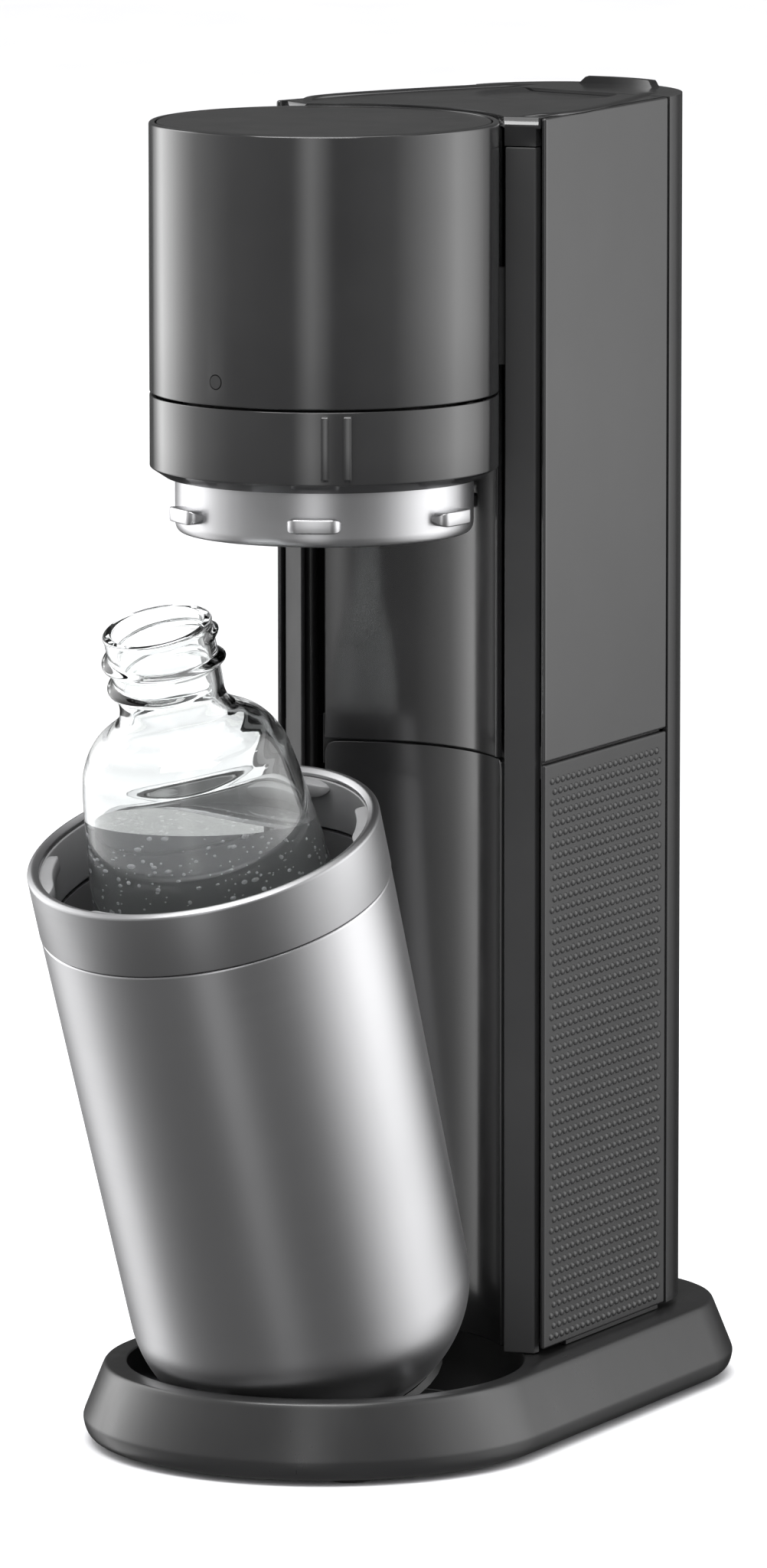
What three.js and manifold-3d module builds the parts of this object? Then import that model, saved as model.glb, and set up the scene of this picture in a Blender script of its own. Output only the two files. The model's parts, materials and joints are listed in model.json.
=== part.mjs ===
// Countertop soda carbonator. Millimetres, +Z up, front towards -Y.
//
// The pieces are laid out around the head axis, a vertical line through x = 0, y = 0, and the
// whole group is moved at the end so that its origin is the bottom centre of its bounding box.
// The container and its carafe are drawn upright around the same axis and then tilted forward
// about the trunnion pins in the base.
import * as THREE from 'three';
import { mergeGeometries, mergeVertices } from 'three/addons/utils/BufferGeometryUtils.js';
import Module from 'manifold-3d';

const wasm = await Module();
wasm.setup();

// ---- Driving dimensions ---------------------------------------------------------------------

const FIT_GAP = 0.3;            // clearance kept between touching pieces
const ROUND = 36;               // sides of a large round piece
const SMALL_ROUND = 16;         // sides of a small round piece

const BASE = {
  frontY: -1, frontR: 80,       // front circle of the footprint at its widest
  rearY: 135.3, rearR: 56.3,    // rear circle of the footprint at its widest
  bottomZ: 1.5, widestZ: 8, topZ: 26.8,
  bottomInset: 5, topInset: 7.9, wall: 3,
  wellR: 66,                    // opening in the deck for the container
};
const PLATE = { bottomZ: 1.5, thick: 1.5 };
const FOOT = { radius: 8, height: 1.2 };

const COLUMN = {
  bottomZ: 29, seamZ: 226, topZ: 439.7, coverZ: 436.2,
  frontY: 46.4,                 // front edge of the side panels
  rearY: 129.1, rearR: 41.3,    // rear wall, half a cylinder
  skin: 1.8, seam: 0.7,
  sideAngle: 9.93,              // the side panels close in towards the back, degrees
};
const TAB = { innerR: 35, outerR: 38, halfAngle: 27, topZ: 442 };
const BAY = { upperR: 58.5, lowerR: 60.2, skin: 2.2, halfAngle: 37.8 };
const PILLAR = { innerX: 42.4, innerY: 41.9, outerX: 52.3, outerY: 45.8, skin: 2, topZ: 430 };
const GUIDE = { radius: 2.5, bushR: 4.5, distance: 71, angle: 41.6, bottomZ: 30, topZ: 433 };

const HEAD = { radius: 57.4, wall: 2, seamZ: 350.2, topZ: 439.2 };
const COLLAR = { bottomZ: 326, lipZ: 322.8, lipR: 52.5, wall: 2.2, gripAngle: 42, gripSpread: 8 };
const RING = { outerR: 49.1, innerR: 46.8, bottomZ: 304.6, topZ: 330 };
const LUG = { outerR: 53.6, halfAngle: 10.6, bottomZ: 309.6, topZ: 314.4, firstAngle: 33.9, count: 6 };
const CHASSIS = { tubeOuterR: 46.3, tubeInnerR: 43.8, bottomZ: 324, plateZ: 404, plateThick: 3 };
const BUTTON = { radius: 54.9, thick: 3, skirtZ: 428, bossZ: 425.2 };
const TRIGGER = { hingeX: -30, hingeZ: 422.8, pinR: 1.6 };

const TILT = 17.92;             // rest angle of the container, degrees from upright
const PIVOT = { z: 9, pinR: 2.5, pinStart: 50.5, pinEnd: 68.5, armEnd: 57.6 };
const CONTAINER = {
  rimR: 58.6, taper: 0.0106,    // the wall closes in by this much for each millimetre down
  rimHeight: 211.05,            // rim above the trunnion axis
  rimEdge: 1.45,                // the rim is widest this far below its top
  depth: 204.5, cornerR: 40, wall: 1.4, bandDepth: 21.6,
};
const SOCKET = { outerR: 55.9, innerR: 54.2, lugR: 50.4, lugFrom: 13, lugTo: 47 };
const LINER = { gap: 1, wall: 1.6, topDepth: 22.1 };
const CARAFE = {
  mouthHeight: 75.8,            // mouth above the container's rim
  mouthR: 17.8, boreR: 14.9, threadR: 20.2, neckR: 17.3, bodyR: 41, glass: 2.6,
};

const CYLINDER = { radius: 30, y: 131, bottomZ: 37, shoulderZ: 318, topZ: 370 };
const LEVER = { y: 112, z: 398, pinR: 1.6 };

// ---- Materials ------------------------------------------------------------------------------

const finish = (color, roughness, metalness) => () => (
  new THREE.MeshStandardMaterial({ color, roughness, metalness })
);
const titanPlastic = finish(0x3a3b3d, 0.25, 0.1);
const satinPlastic = finish(0x37383a, 0.38, 0.05);
const darkPlastic = finish(0x1d1e20, 0.45, 0);
const greyPlastic = finish(0x8b8d90, 0.5, 0);
const steel = finish(0xc3c4c6, 0.3, 1);
const brass = finish(0xb79a52, 0.35, 1);
const blackSteel = finish(0x1b1b1c, 0.4, 0.6);
const linerPlastic = finish(0x4a4b4d, 0.4, 0);
const rubber = finish(0x161617, 0.85, 0);
const enamel = finish(0xb8bcc0, 0.4, 0.2);
const clearGlass = () => new THREE.MeshStandardMaterial({
  color: 0xe8f0f0, roughness: 0.05, metalness: 0, transparent: true, opacity: 0.35,
});

// ---- Solid helpers --------------------------------------------------------------------------

function closedMesh(geometry) {
  const bare = new THREE.BufferGeometry();
  bare.setAttribute('position', geometry.getAttribute('position').clone());
  if (geometry.index) {
    bare.setIndex(geometry.index.clone());
  }
  return mergeVertices(bare, 1e-4);
}

function toSolid(geometry) {
  const mesh = closedMesh(geometry);
  return new wasm.Manifold(new wasm.Mesh({
    numProp: 3,
    vertProperties: new Float32Array(mesh.getAttribute('position').array),
    triVerts: new Uint32Array(mesh.index.array),
  }));
}

function toGeometry(solid) {
  const mesh = solid.getMesh();
  const geometry = new THREE.BufferGeometry();
  geometry.setAttribute('position', new THREE.BufferAttribute(mesh.vertProperties, 3));
  geometry.setIndex(new THREE.BufferAttribute(mesh.triVerts, 1));
  return geometry;
}

function cut(geometry, ...tools) {
  const left = tools.reduce((solid, tool) => solid.subtract(toSolid(tool)), toSolid(geometry));
  return toGeometry(left);
}

function join(...geometries) {
  return toGeometry(geometries.map(toSolid).reduce((a, b) => a.add(b)));
}

function common(a, b) {
  return toGeometry(toSolid(a).intersect(toSolid(b)));
}

const radians = THREE.MathUtils.degToRad;
const vec = (x, y) => new THREE.Vector2(x, y);

// Points along an arc; angles in degrees, anticlockwise from +X.
function arc(cx, cy, radius, from, to, steps) {
  const points = [];
  for (let i = 0; i <= steps; i += 1) {
    const angle = radians(from + ((to - from) * i) / steps);
    points.push(vec(cx + radius * Math.cos(angle), cy + radius * Math.sin(angle)));
  }
  return points;
}

// A solid of revolution about +Z from a closed profile of (radius, height) points.
function revolve(profile, sides = ROUND) {
  const loop = profile.map(([r, z]) => vec(r, z));
  if (THREE.ShapeUtils.area(loop) < 0) {
    loop.reverse();
  }
  loop.push(loop[0].clone());
  return new THREE.LatheGeometry(loop, sides).rotateX(Math.PI / 2);
}

function tube(outerR, innerR, bottomZ, topZ, sides = ROUND) {
  return revolve([[outerR, bottomZ], [outerR, topZ], [innerR, topZ], [innerR, bottomZ]], sides);
}

function rod(radius, bottomZ, topZ, x = 0, y = 0, sides = SMALL_ROUND) {
  const geometry = new THREE.CylinderGeometry(radius, radius, topZ - bottomZ, sides);
  return geometry.rotateX(Math.PI / 2).translate(x, y, (bottomZ + topZ) / 2);
}

function block(from, to) {
  const size = to.map((value, i) => value - from[i]);
  const middle = to.map((value, i) => (value + from[i]) / 2);
  return new THREE.BoxGeometry(...size).translate(...middle);
}

// An outline of Vector2 points raised from bottomZ to topZ.
function raise(points, bottomZ, topZ) {
  const shape = new THREE.Shape(points);
  const options = { depth: topZ - bottomZ, bevelEnabled: false, steps: 1 };
  return new THREE.ExtrudeGeometry(shape, options).translate(0, 0, bottomZ);
}

// A closed skin through equal rings of Vector3 points, flat at both ends.
function loft(rings) {
  const count = rings[0].length;
  const positions = rings.flat().flatMap((p) => [p.x, p.y, p.z]);
  const faces = [];
  for (let level = 0; level < rings.length - 1; level += 1) {
    for (let i = 0; i < count; i += 1) {
      const a = level * count + i;
      const b = level * count + ((i + 1) % count);
      faces.push(a, b, b + count, a, b + count, a + count);
    }
  }
  const flat = THREE.ShapeUtils.triangulateShape(rings[0].map((p) => vec(p.x, p.y)), []);
  const top = (rings.length - 1) * count;
  flat.forEach(([a, b, c]) => faces.push(c, b, a, top + a, top + b, top + c));
  const geometry = new THREE.BufferGeometry();
  geometry.setAttribute('position', new THREE.Float32BufferAttribute(positions, 3));
  geometry.setIndex(faces);
  return geometry;
}

// A rod bent along a path of Vector3 points.
function bentRod(points, radius, sides, steps) {
  const section = new THREE.Shape(arc(0, 0, radius, 0, 360 - 360 / sides, sides - 1));
  const path = new THREE.CatmullRomCurve3(points);
  return new THREE.ExtrudeGeometry(section, { steps, extrudePath: path, bevelEnabled: false });
}

// A piece of a ring between two radii, spanning angles measured from the +Y axis towards +X.
function sector(innerR, outerR, from, to, steps) {
  const outer = arc(0, 0, outerR, 90 - to, 90 - from, steps);
  const inner = arc(0, 0, innerR, 90 - to, 90 - from, steps).reverse();
  return [...outer, ...inner];
}

const mirrored = (points) => points.map((p) => vec(-p.x, p.y)).reverse();

// ---- The group ------------------------------------------------------------------------------

const machine = new THREE.Group();
const tilted = new THREE.Group();
tilted.rotation.x = radians(TILT);
tilted.position.z = PIVOT.z;
machine.add(tilted);

function add(name, geometry, material, parent = machine) {
  const mesh = new THREE.Mesh(geometry, material());
  mesh.name = name;
  parent.add(mesh);
  return mesh;
}

const SIDES = [['left', -1], ['right', 1]];

// ---- Base -----------------------------------------------------------------------------------

// The footprint drawn in by an inset: two circles of different size and their tangents.
function footprint(inset, z) {
  const slope = (Math.asin((BASE.frontR - BASE.rearR) / (BASE.rearY - BASE.frontY)) * 180) / Math.PI;
  const front = arc(0, BASE.frontY, BASE.frontR - inset, 180 - slope, 360 + slope, 24);
  const rear = arc(0, BASE.rearY, BASE.rearR - inset, slope, 180 - slope, 14);
  return [...front, ...rear].map((p) => new THREE.Vector3(p.x, p.y, z));
}

const plateRing = (z) => footprint(BASE.bottomInset + BASE.wall + FIT_GAP, z);
const PLATE_TOP = PLATE.bottomZ + PLATE.thick;
const SCREW_SPOTS = [[-60, -28], [60, -28], [-38, 116], [38, 116]];
const FOOT_SPOTS = [[-46, -46], [46, -46], [-34, 140], [34, 140], [0, 50]];

function baseShell() {
  const outer = loft([
    footprint(BASE.bottomInset, BASE.bottomZ),
    footprint(1.4, BASE.bottomZ + 2.5),
    footprint(0, BASE.widestZ),
    footprint(BASE.topInset - 0.8, BASE.topZ - 0.9),
    footprint(BASE.topInset, BASE.topZ),
  ]);
  const hollow = loft([
    footprint(BASE.bottomInset + BASE.wall, BASE.bottomZ - 1),
    footprint(BASE.bottomInset + BASE.wall, BASE.widestZ),
    footprint(BASE.topInset + BASE.wall, BASE.topZ - BASE.wall),
  ]);
  const well = rod(BASE.wellR, BASE.topZ - 10, BASE.topZ + 5, 0, 0, ROUND);
  let shell = cut(outer, hollow, well);
  for (const [, side] of SIDES) {
    const near = side * 64;
    const far = side * (BASE.frontR - BASE.bottomInset - 1.5);
    const bearing = block(
      [Math.min(near, far), -7, 4], [Math.max(near, far), 7, BASE.topZ - BASE.wall + 0.5],
    );
    const bore = rod(PIVOT.pinR + FIT_GAP, 0, PIVOT.pinEnd + FIT_GAP).rotateY((side * Math.PI) / 2);
    shell = cut(join(shell, common(bearing, outer)), bore.translate(0, 0, PIVOT.z));
  }
  for (const [x, y] of SCREW_SPOTS) {
    const boss = rod(3.6, PLATE_TOP + FIT_GAP, BASE.topZ - BASE.wall + 0.5, x, y, 12);
    shell = cut(join(shell, common(boss, outer)), rod(1.8, 0, 8, x, y, 12));
  }
  return shell;
}

const screwHoles = SCREW_SPOTS.map(([x, y]) => rod(1.8, 0, 5, x, y, 12));
add('base_shell', baseShell(), satinPlastic);
const basePlate = cut(loft([plateRing(PLATE.bottomZ), plateRing(PLATE_TOP)]), ...screwHoles);
add('base_plate', basePlate, darkPlastic);
FOOT_SPOTS.forEach(([x, y], i) => {
  add(`rubber_foot_${i + 1}`, rod(FOOT.radius, 0, FOOT.height, x, y), rubber);
});
SCREW_SPOTS.forEach(([x, y], i) => {
  const head = rod(3.2, PLATE.bottomZ - 1.1, PLATE.bottomZ - FIT_GAP, x, y, 12);
  add(`base_screw_${i + 1}`, join(head, rod(1.4, PLATE.bottomZ - 1, 5, x, y, 12)), steel);
});
add('tilt_bumper', block([-7, -BASE.wellR - 3, 18.5], [7, -62.3, 23.4]), rubber);

// ---- Column ---------------------------------------------------------------------------------

const SIDE_TURN = radians(COLUMN.sideAngle);
const SIDE_DROP = COLUMN.rearY - COLUMN.frontY;
const SIDE_FRONT_X = (COLUMN.rearR + SIDE_DROP * Math.sin(SIDE_TURN)) / Math.cos(SIDE_TURN);
const SIDE_LENGTH = (SIDE_DROP + COLUMN.rearR * Math.sin(SIDE_TURN)) / Math.cos(SIDE_TURN);

// A point on a side panel: along is measured back from the front edge, inward from the face.
function sidePoint(along, inward, side = 1) {
  const x = SIDE_FRONT_X - along * Math.sin(SIDE_TURN) - inward * Math.cos(SIDE_TURN);
  const y = COLUMN.frontY + along * Math.cos(SIDE_TURN) - inward * Math.sin(SIDE_TURN);
  return vec(side * x, y);
}

const onSide = (points, side) => (side > 0 ? points : mirrored(points));

function sidePanel(side, bottomZ, topZ) {
  const end = SIDE_LENGTH - COLUMN.seam;
  const outline = [
    sidePoint(0.8, 0), sidePoint(end, 0), sidePoint(end, COLUMN.skin),
    sidePoint(0, COLUMN.skin), sidePoint(0, 0.6),
  ];
  return raise(onSide(outline, side), bottomZ, topZ);
}

function pillarOutline() {
  const run = vec(PILLAR.outerX - PILLAR.innerX, PILLAR.outerY - PILLAR.innerY).normalize();
  const inward = vec(-run.y, run.x).multiplyScalar(PILLAR.skin);
  const inner = vec(PILLAR.innerX, PILLAR.innerY);
  const returnX = PILLAR.outerX - PILLAR.skin;
  const returnY = PILLAR.outerY + inward.y - (PILLAR.skin + inward.x) * (run.y / run.x);
  return [
    inner, vec(PILLAR.outerX, PILLAR.outerY), vec(PILLAR.outerX, 49), vec(returnX, 49),
    vec(returnX, returnY), inner.clone().add(inward).add(run),
  ];
}

const BAY_SEAM = 0.4;
for (const [label, side] of SIDES) {
  const lower = sidePanel(side, COLUMN.bottomZ, COLUMN.seamZ - BAY_SEAM);
  const upper = sidePanel(side, COLUMN.seamZ + BAY_SEAM, COLUMN.topZ);
  const pillar = raise(onSide(pillarOutline(), side), BASE.topZ + FIT_GAP, PILLAR.topZ);
  add(`side_panel_lower_${label}`, lower, titanPlastic);
  add(`side_panel_upper_${label}`, upper, titanPlastic);
  add(`front_pillar_${label}`, pillar, satinPlastic);
}

function bayPanel(innerR, bottomZ, topZ) {
  const outline = sector(innerR, innerR + BAY.skin, -BAY.halfAngle, BAY.halfAngle, 14);
  return raise(outline, bottomZ, topZ);
}

const bayLower = bayPanel(BAY.lowerR, BASE.topZ + 0.8, COLUMN.seamZ - BAY_SEAM);
const bayUpper = bayPanel(BAY.upperR, COLUMN.seamZ + BAY_SEAM, COLUMN.coverZ - FIT_GAP);
add('bay_panel_lower', bayLower, titanPlastic);
add('bay_panel_upper', bayUpper, titanPlastic);

function topCover() {
  const inset = COLUMN.skin + FIT_GAP;
  const rear = SIDE_LENGTH - COLUMN.seam;
  const right = [
    sidePoint(rear, inset), sidePoint(0, inset),
    vec(PILLAR.outerX, PILLAR.outerY), vec(PILLAR.innerX, PILLAR.innerY),
  ].reverse();
  const bayR = Math.hypot(PILLAR.innerX, PILLAR.innerY);
  const bayAngle = (Math.atan2(PILLAR.innerY, PILLAR.innerX) * 180) / Math.PI;
  const bay = arc(0, 0, bayR, 180 - bayAngle, bayAngle, 20).slice(1, -1);
  const plate = raise([...right, ...mirrored(right), ...bay], COLUMN.coverZ, COLUMN.topZ);
  const skirts = SIDES.map(([, side]) => (
    raise(onSide(pillarOutline(), side), PILLAR.topZ + FIT_GAP, COLUMN.coverZ + 1)
  ));
  const dish = rod(24.5, COLUMN.topZ - 0.8, COLUMN.topZ + 2, 0, 121, ROUND);
  return cut(join(plate, ...skirts), dish);
}

add('top_cover', topCover(), titanPlastic);

function columnFrame() {
  const inset = COLUMN.skin + 0.4;
  const rear = SIDE_LENGTH - 2;
  const right = [
    sidePoint(20, inset), sidePoint(rear, inset), sidePoint(rear, inset + 2), sidePoint(22.6, inset + 2),
  ];
  const outline = [...right, ...mirrored(right)];
  const frame = raise(outline, BASE.topZ + FIT_GAP, COLUMN.coverZ - 2);
  return cut(frame, block([37, 60, 384], [49, 72, 416]));
}

add('column_frame', columnFrame(), darkPlastic);

const guideX = GUIDE.distance * Math.sin(radians(GUIDE.angle));
const guideY = GUIDE.distance * Math.cos(radians(GUIDE.angle));
for (const [label, side] of SIDES) {
  const guide = rod(GUIDE.radius, GUIDE.bottomZ, GUIDE.topZ, side * guideX, guideY, 12);
  add(`guide_rod_${label}`, guide, blackSteel);
}

// ---- Rear cover -----------------------------------------------------------------------------

function rearCover() {
  const from = COLUMN.sideAngle;
  const wallOuter = arc(0, 0, COLUMN.rearR, from, 180 - from, 24);
  const wallInner = arc(0, 0, COLUMN.rearR - 2, from, 180 - from, 24).reverse();
  const wall = raise([...wallOuter, ...wallInner], COLUMN.bottomZ, COLUMN.topZ);
  const lid = raise(wallOuter, COLUMN.coverZ, COLUMN.topZ);
  const tabOuter = arc(0, 0, TAB.outerR, 90 - TAB.halfAngle, 90 + TAB.halfAngle, 10);
  const tabInner = arc(0, 0, TAB.innerR, 90 - TAB.halfAngle, 90 + TAB.halfAngle, 10).reverse();
  const tab = raise([...tabOuter, ...tabInner], COLUMN.topZ - 1, TAB.topZ);
  return join(wall, lid, tab).translate(0, COLUMN.rearY, 0);
}

add('rear_cover', rearCover(), titanPlastic);

// ---- Gas cylinder and its quick connector ---------------------------------------------------

function gasCylinder() {
  const { radius, bottomZ, shoulderZ } = CYLINDER;
  const shoulder = arc(radius - 18, shoulderZ, 18, 0, 72, 4).map((p) => [p.x, p.y]);
  const profile = [
    [0, bottomZ + 3], [radius - 12, bottomZ + 3], [radius - 8, bottomZ], [radius - 3, bottomZ],
    [radius, bottomZ + 4], ...shoulder, [13, shoulderZ + 22], [13, shoulderZ + 26], [0, shoulderZ + 26],
  ];
  return revolve(profile, 24).translate(0, CYLINDER.y, 0);
}

function cylinderValve() {
  const foot = CYLINDER.shoulderZ + 26 + FIT_GAP;
  const top = CYLINDER.topZ;
  const profile = [
    [0, foot], [12.5, foot], [12.5, top - 16], [8.5, top - 16], [8.5, top - 10],
    [11, top - 10], [11, top - 1], [10, top], [0, top],
  ];
  return revolve(profile, 24).translate(0, CYLINDER.y, 0);
}

function cylinderSeat() {
  const floor = CYLINDER.bottomZ - FIT_GAP;
  const cup = join(
    rod(33.5, BASE.topZ + FIT_GAP, floor, 0, CYLINDER.y, 32),
    tube(33.5, 30.5, floor - 1, floor + 9, 32).translate(0, CYLINDER.y, 0),
  );
  return cut(cup, block([-40, CYLINDER.y, floor], [40, CYLINDER.y + 40, floor + 20]));
}

function quickConnect() {
  const top = CYLINDER.topZ;
  const y = CYLINDER.y;
  const body = block([-16, 104, top - 15.4], [16, 146, 392]);
  const arm = block([-10, 69.2, 380], [10, 106, 388]);
  const ears = SIDES.map(([, side]) => (
    block([side > 0 ? 10 : -14, 106, 390], [side > 0 ? 14 : -10, 118, 403])
  ));
  const headRoom = [rod(11.7, top - 10.4, top + 0.6, 0, y), block([-11.7, y, top - 10.4], [11.7, 150, top + 0.6])];
  const fork = [rod(9.2, top - 20, top - 9, 0, y), block([-9.2, y, top - 20], [9.2, 150, top - 9])];
  const bore = rod(LEVER.pinR + FIT_GAP, -20, 20, 0, 0, 12).rotateY(Math.PI / 2);
  bore.translate(0, LEVER.y, LEVER.z);
  return cut(join(body, arm, ...ears), ...headRoom, ...fork, bore);
}

function releaseLever() {
  const hub = rod(4.2, -9.5, 9.5, 0, 0, 20).rotateY(Math.PI / 2).translate(0, LEVER.y, LEVER.z);
  const handle = block([-8, LEVER.y, 396], [8, 150, 400]);
  const grip = block([-11, 146, 394.5], [11, 158, 401.5]);
  const bore = rod(LEVER.pinR + FIT_GAP, -20, 20, 0, 0, 12).rotateY(Math.PI / 2);
  return cut(join(hub, handle, grip), bore.translate(0, LEVER.y, LEVER.z));
}

add('gas_cylinder', gasCylinder(), enamel);
add('cylinder_valve', cylinderValve(), brass);
add('cylinder_seat', cylinderSeat(), darkPlastic);
add('quick_connect_body', quickConnect(), darkPlastic);
add('release_lever', releaseLever(), greyPlastic);
const leverPin = rod(LEVER.pinR, -13.5, 13.5, 0, 0, 12).rotateY(Math.PI / 2);
add('release_lever_pin', leverPin.translate(0, LEVER.y, LEVER.z), steel);

const hosePath = [
  [16.5, 100, 384], [24, 90, 372], [28, 82, 330], [33, 78, 306], [39, 76, 330],
  [42, 74, 380], [41.5, 69, 402], [41, 60, 408], [41, 52.5, 403], [41.2, 50, 393.2],
].map((p) => new THREE.Vector3(...p));
add('gas_hose', bentRod(hosePath, 2.4, 6, 30), rubber);

// ---- Head -----------------------------------------------------------------------------------

function onArm(geometry, side) {
  return geometry.rotateZ(side * radians(-GUIDE.angle));
}

function headCover() {
  const wall = tube(HEAD.radius, HEAD.radius - HEAD.wall, HEAD.seamZ + BAY_SEAM, HEAD.topZ);
  const slots = SIDES.map(([, side]) => onArm(block([-2.8, 45, 340], [2.8, 65, 391]), side));
  const markHole = rod(2.5, 50, 60, 0, 0, 16).rotateX(Math.PI / 2).translate(0, 0, 358.4);
  return cut(wall, ...slots, markHole);
}

add('head_cover', headCover(), titanPlastic);
const mark = rod(2.2, 55.8, 57.5, 0, 0, 16).rotateX(Math.PI / 2);
add('alignment_mark', mark.translate(0, 0, 358.4), darkPlastic);

function pressButton() {
  const { radius, thick, skirtZ, bossZ } = BUTTON;
  const top = HEAD.topZ;
  return revolve([
    [0, top], [radius - 0.5, top], [radius, top - 0.5], [radius, skirtZ], [radius - 2, skirtZ],
    [radius - 2, top - thick], [2.2, top - thick], [2.2, bossZ], [0, bossZ],
  ]);
}

add('press_button', pressButton(), titanPlastic);

function springPath(turns, radius, bottomZ, topZ) {
  const points = [];
  const steps = turns * 10;
  for (let i = 0; i <= steps; i += 1) {
    const angle = (2 * Math.PI * i) / 10;
    const z = bottomZ + ((topZ - bottomZ) * i) / steps;
    points.push(new THREE.Vector3(radius * Math.cos(angle), radius * Math.sin(angle), z));
  }
  return points;
}

const plateTop = CHASSIS.plateZ + CHASSIS.plateThick;
const springTop = HEAD.topZ - BUTTON.thick;
const buttonSpring = bentRod(springPath(5, 6, plateTop + 1.4, springTop - 1.4), 0.7, 5, 50);
add('button_spring', buttonSpring.translate(0, 32, 0), steel);

function headChassis() {
  const { tubeOuterR, tubeInnerR, bottomZ, plateZ } = CHASSIS;
  const cup = tube(tubeOuterR, tubeInnerR, bottomZ, plateTop);
  const plate = tube(HEAD.radius - HEAD.wall - 0.5, 10.4, plateZ, plateTop);
  const pieces = [cup, plate];
  for (const [, side] of SIDES) {
    pieces.push(onArm(block([-1.8, 45, 358], [1.8, GUIDE.distance - 3, 390]), side));
    pieces.push(rod(GUIDE.bushR, 355, 393, side * guideX, guideY));
    pieces.push(block([TRIGGER.hingeX - 4, side * 6 - 1.5, plateTop - 1], [TRIGGER.hingeX + 4, side * 6 + 1.5, 427]));
  }
  const bores = SIDES.map(([, side]) => rod(GUIDE.radius + 0.4, 350, 400, side * guideX, guideY, 12));
  const hinge = rod(TRIGGER.pinR + FIT_GAP, -10, 10, 0, 0, 12).rotateX(Math.PI / 2);
  return cut(join(...pieces), ...bores, hinge.translate(TRIGGER.hingeX, 0, TRIGGER.hingeZ));
}

add('head_chassis', headChassis(), darkPlastic);

function triggerLever() {
  const bar = block([TRIGGER.hingeX - 4, -4, 420.9], [6, 4, 424.8]);
  const hinge = rod(TRIGGER.pinR + FIT_GAP, -10, 10, 0, 0, 12).rotateX(Math.PI / 2);
  return cut(bar, hinge.translate(TRIGGER.hingeX, 0, TRIGGER.hingeZ));
}

add('trigger_lever', triggerLever(), steel);
const triggerPin = rod(TRIGGER.pinR, -7, 7, 0, 0, 12).rotateX(Math.PI / 2);
add('trigger_pin', triggerPin.translate(TRIGGER.hingeX, 0, TRIGGER.hingeZ), steel);

const valveBody = revolve([
  [0, 396], [5.5, 396], [5.5, 403.9], [10, 403.9], [10, plateTop + FIT_GAP], [14, plateTop + FIT_GAP],
  [14, plateTop + 3.5], [9, plateTop + 3.5], [9, 415.5], [2.6, 415.5], [2.6, 400.5], [0, 400.5],
], 24);
add('valve_body', valveBody, brass);
add('valve_stem', rod(2.2, 405, 420.5, 0, 0, 16), steel);
add('bottle_seal', tube(19, 6, 398.9, 403.6, 32), rubber);
add('carbonating_nozzle', tube(2.4, 1.1, 322, 395.7, 12), greyPlastic);
const reliefValve = revolve([[0, plateTop + FIT_GAP], [5, plateTop + FIT_GAP], [5, 417], [3, 420], [0, 420]], 20);
add('relief_valve', reliefValve.translate(24, 16, 0), brass);

function lockingCollar() {
  const { bottomZ, lipZ, lipR, wall, gripAngle, gripSpread } = COLLAR;
  const top = HEAD.seamZ - BAY_SEAM;
  const body = revolve([
    [HEAD.radius, bottomZ], [HEAD.radius, top], [HEAD.radius - wall, top],
    [HEAD.radius - wall, bottomZ + 2], [RING.outerR + FIT_GAP, bottomZ + 1],
    [RING.outerR + FIT_GAP, lipZ], [lipR, lipZ],
  ]);
  const grips = [-1, 1].map((step) => {
    const rib = block([-0.7, -HEAD.radius - 1.5, bottomZ + 0.4], [0.7, -HEAD.radius + 1, top - 0.6]);
    return rib.rotateZ(radians(gripAngle + (step * gripSpread) / 2));
  });
  return join(body, ...grips);
}

add('locking_collar', lockingCollar(), titanPlastic);

// A short arc-shaped lug; its middle is turned from the front towards +X.
function lug(innerR, outerR, halfAngle, bottomZ, topZ, turn) {
  const outline = sector(innerR, outerR, -halfAngle, halfAngle, 4);
  return raise(outline, bottomZ, topZ).rotateZ(Math.PI + radians(turn));
}

function bayonetRing() {
  const { outerR, innerR, bottomZ, topZ } = RING;
  const ring = revolve([
    [outerR, bottomZ + 2], [outerR, topZ], [innerR, topZ], [innerR, bottomZ + 0.8],
    [innerR + 0.8, bottomZ], [outerR - 1, bottomZ],
  ]);
  const lugs = Array.from({ length: LUG.count }, (_, i) => {
    const turn = LUG.firstAngle + (360 / LUG.count) * i;
    return lug(outerR - 0.6, LUG.outerR, LUG.halfAngle, LUG.bottomZ, LUG.topZ, turn);
  });
  return join(ring, ...lugs);
}

add('bayonet_ring', bayonetRing(), steel);

// ---- Container, drawn upright above the trunnion axis ---------------------------------------

const containerR = (height) => CONTAINER.rimR - CONTAINER.taper * (CONTAINER.rimHeight - height);
const CORNER = {
  height: CONTAINER.rimHeight - CONTAINER.depth + CONTAINER.cornerR,
};
CORNER.radius = containerR(CORNER.height) - CONTAINER.cornerR;

// The container's rounded foot and wall at a distance outside (or inside) its outer face.
function cupLine(offset, topHeight) {
  const bend = arc(CORNER.radius, CORNER.height, CONTAINER.cornerR + offset, -90, 0, 6);
  return [...bend.map((p) => [p.x, p.y]), [containerR(topHeight) + offset, topHeight]];
}

function cup(outside, wall, topHeight) {
  const outer = cupLine(outside, topHeight);
  const inner = cupLine(outside - wall, topHeight).reverse();
  const floor = CORNER.height - CONTAINER.cornerR - outside;
  return revolve([[0, floor], ...outer, ...inner, [0, floor + wall]]);
}

const bandBottom = CONTAINER.rimHeight - CONTAINER.bandDepth;
add('container_shell', cup(0, CONTAINER.wall, bandBottom - FIT_GAP), steel, tilted);

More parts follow.
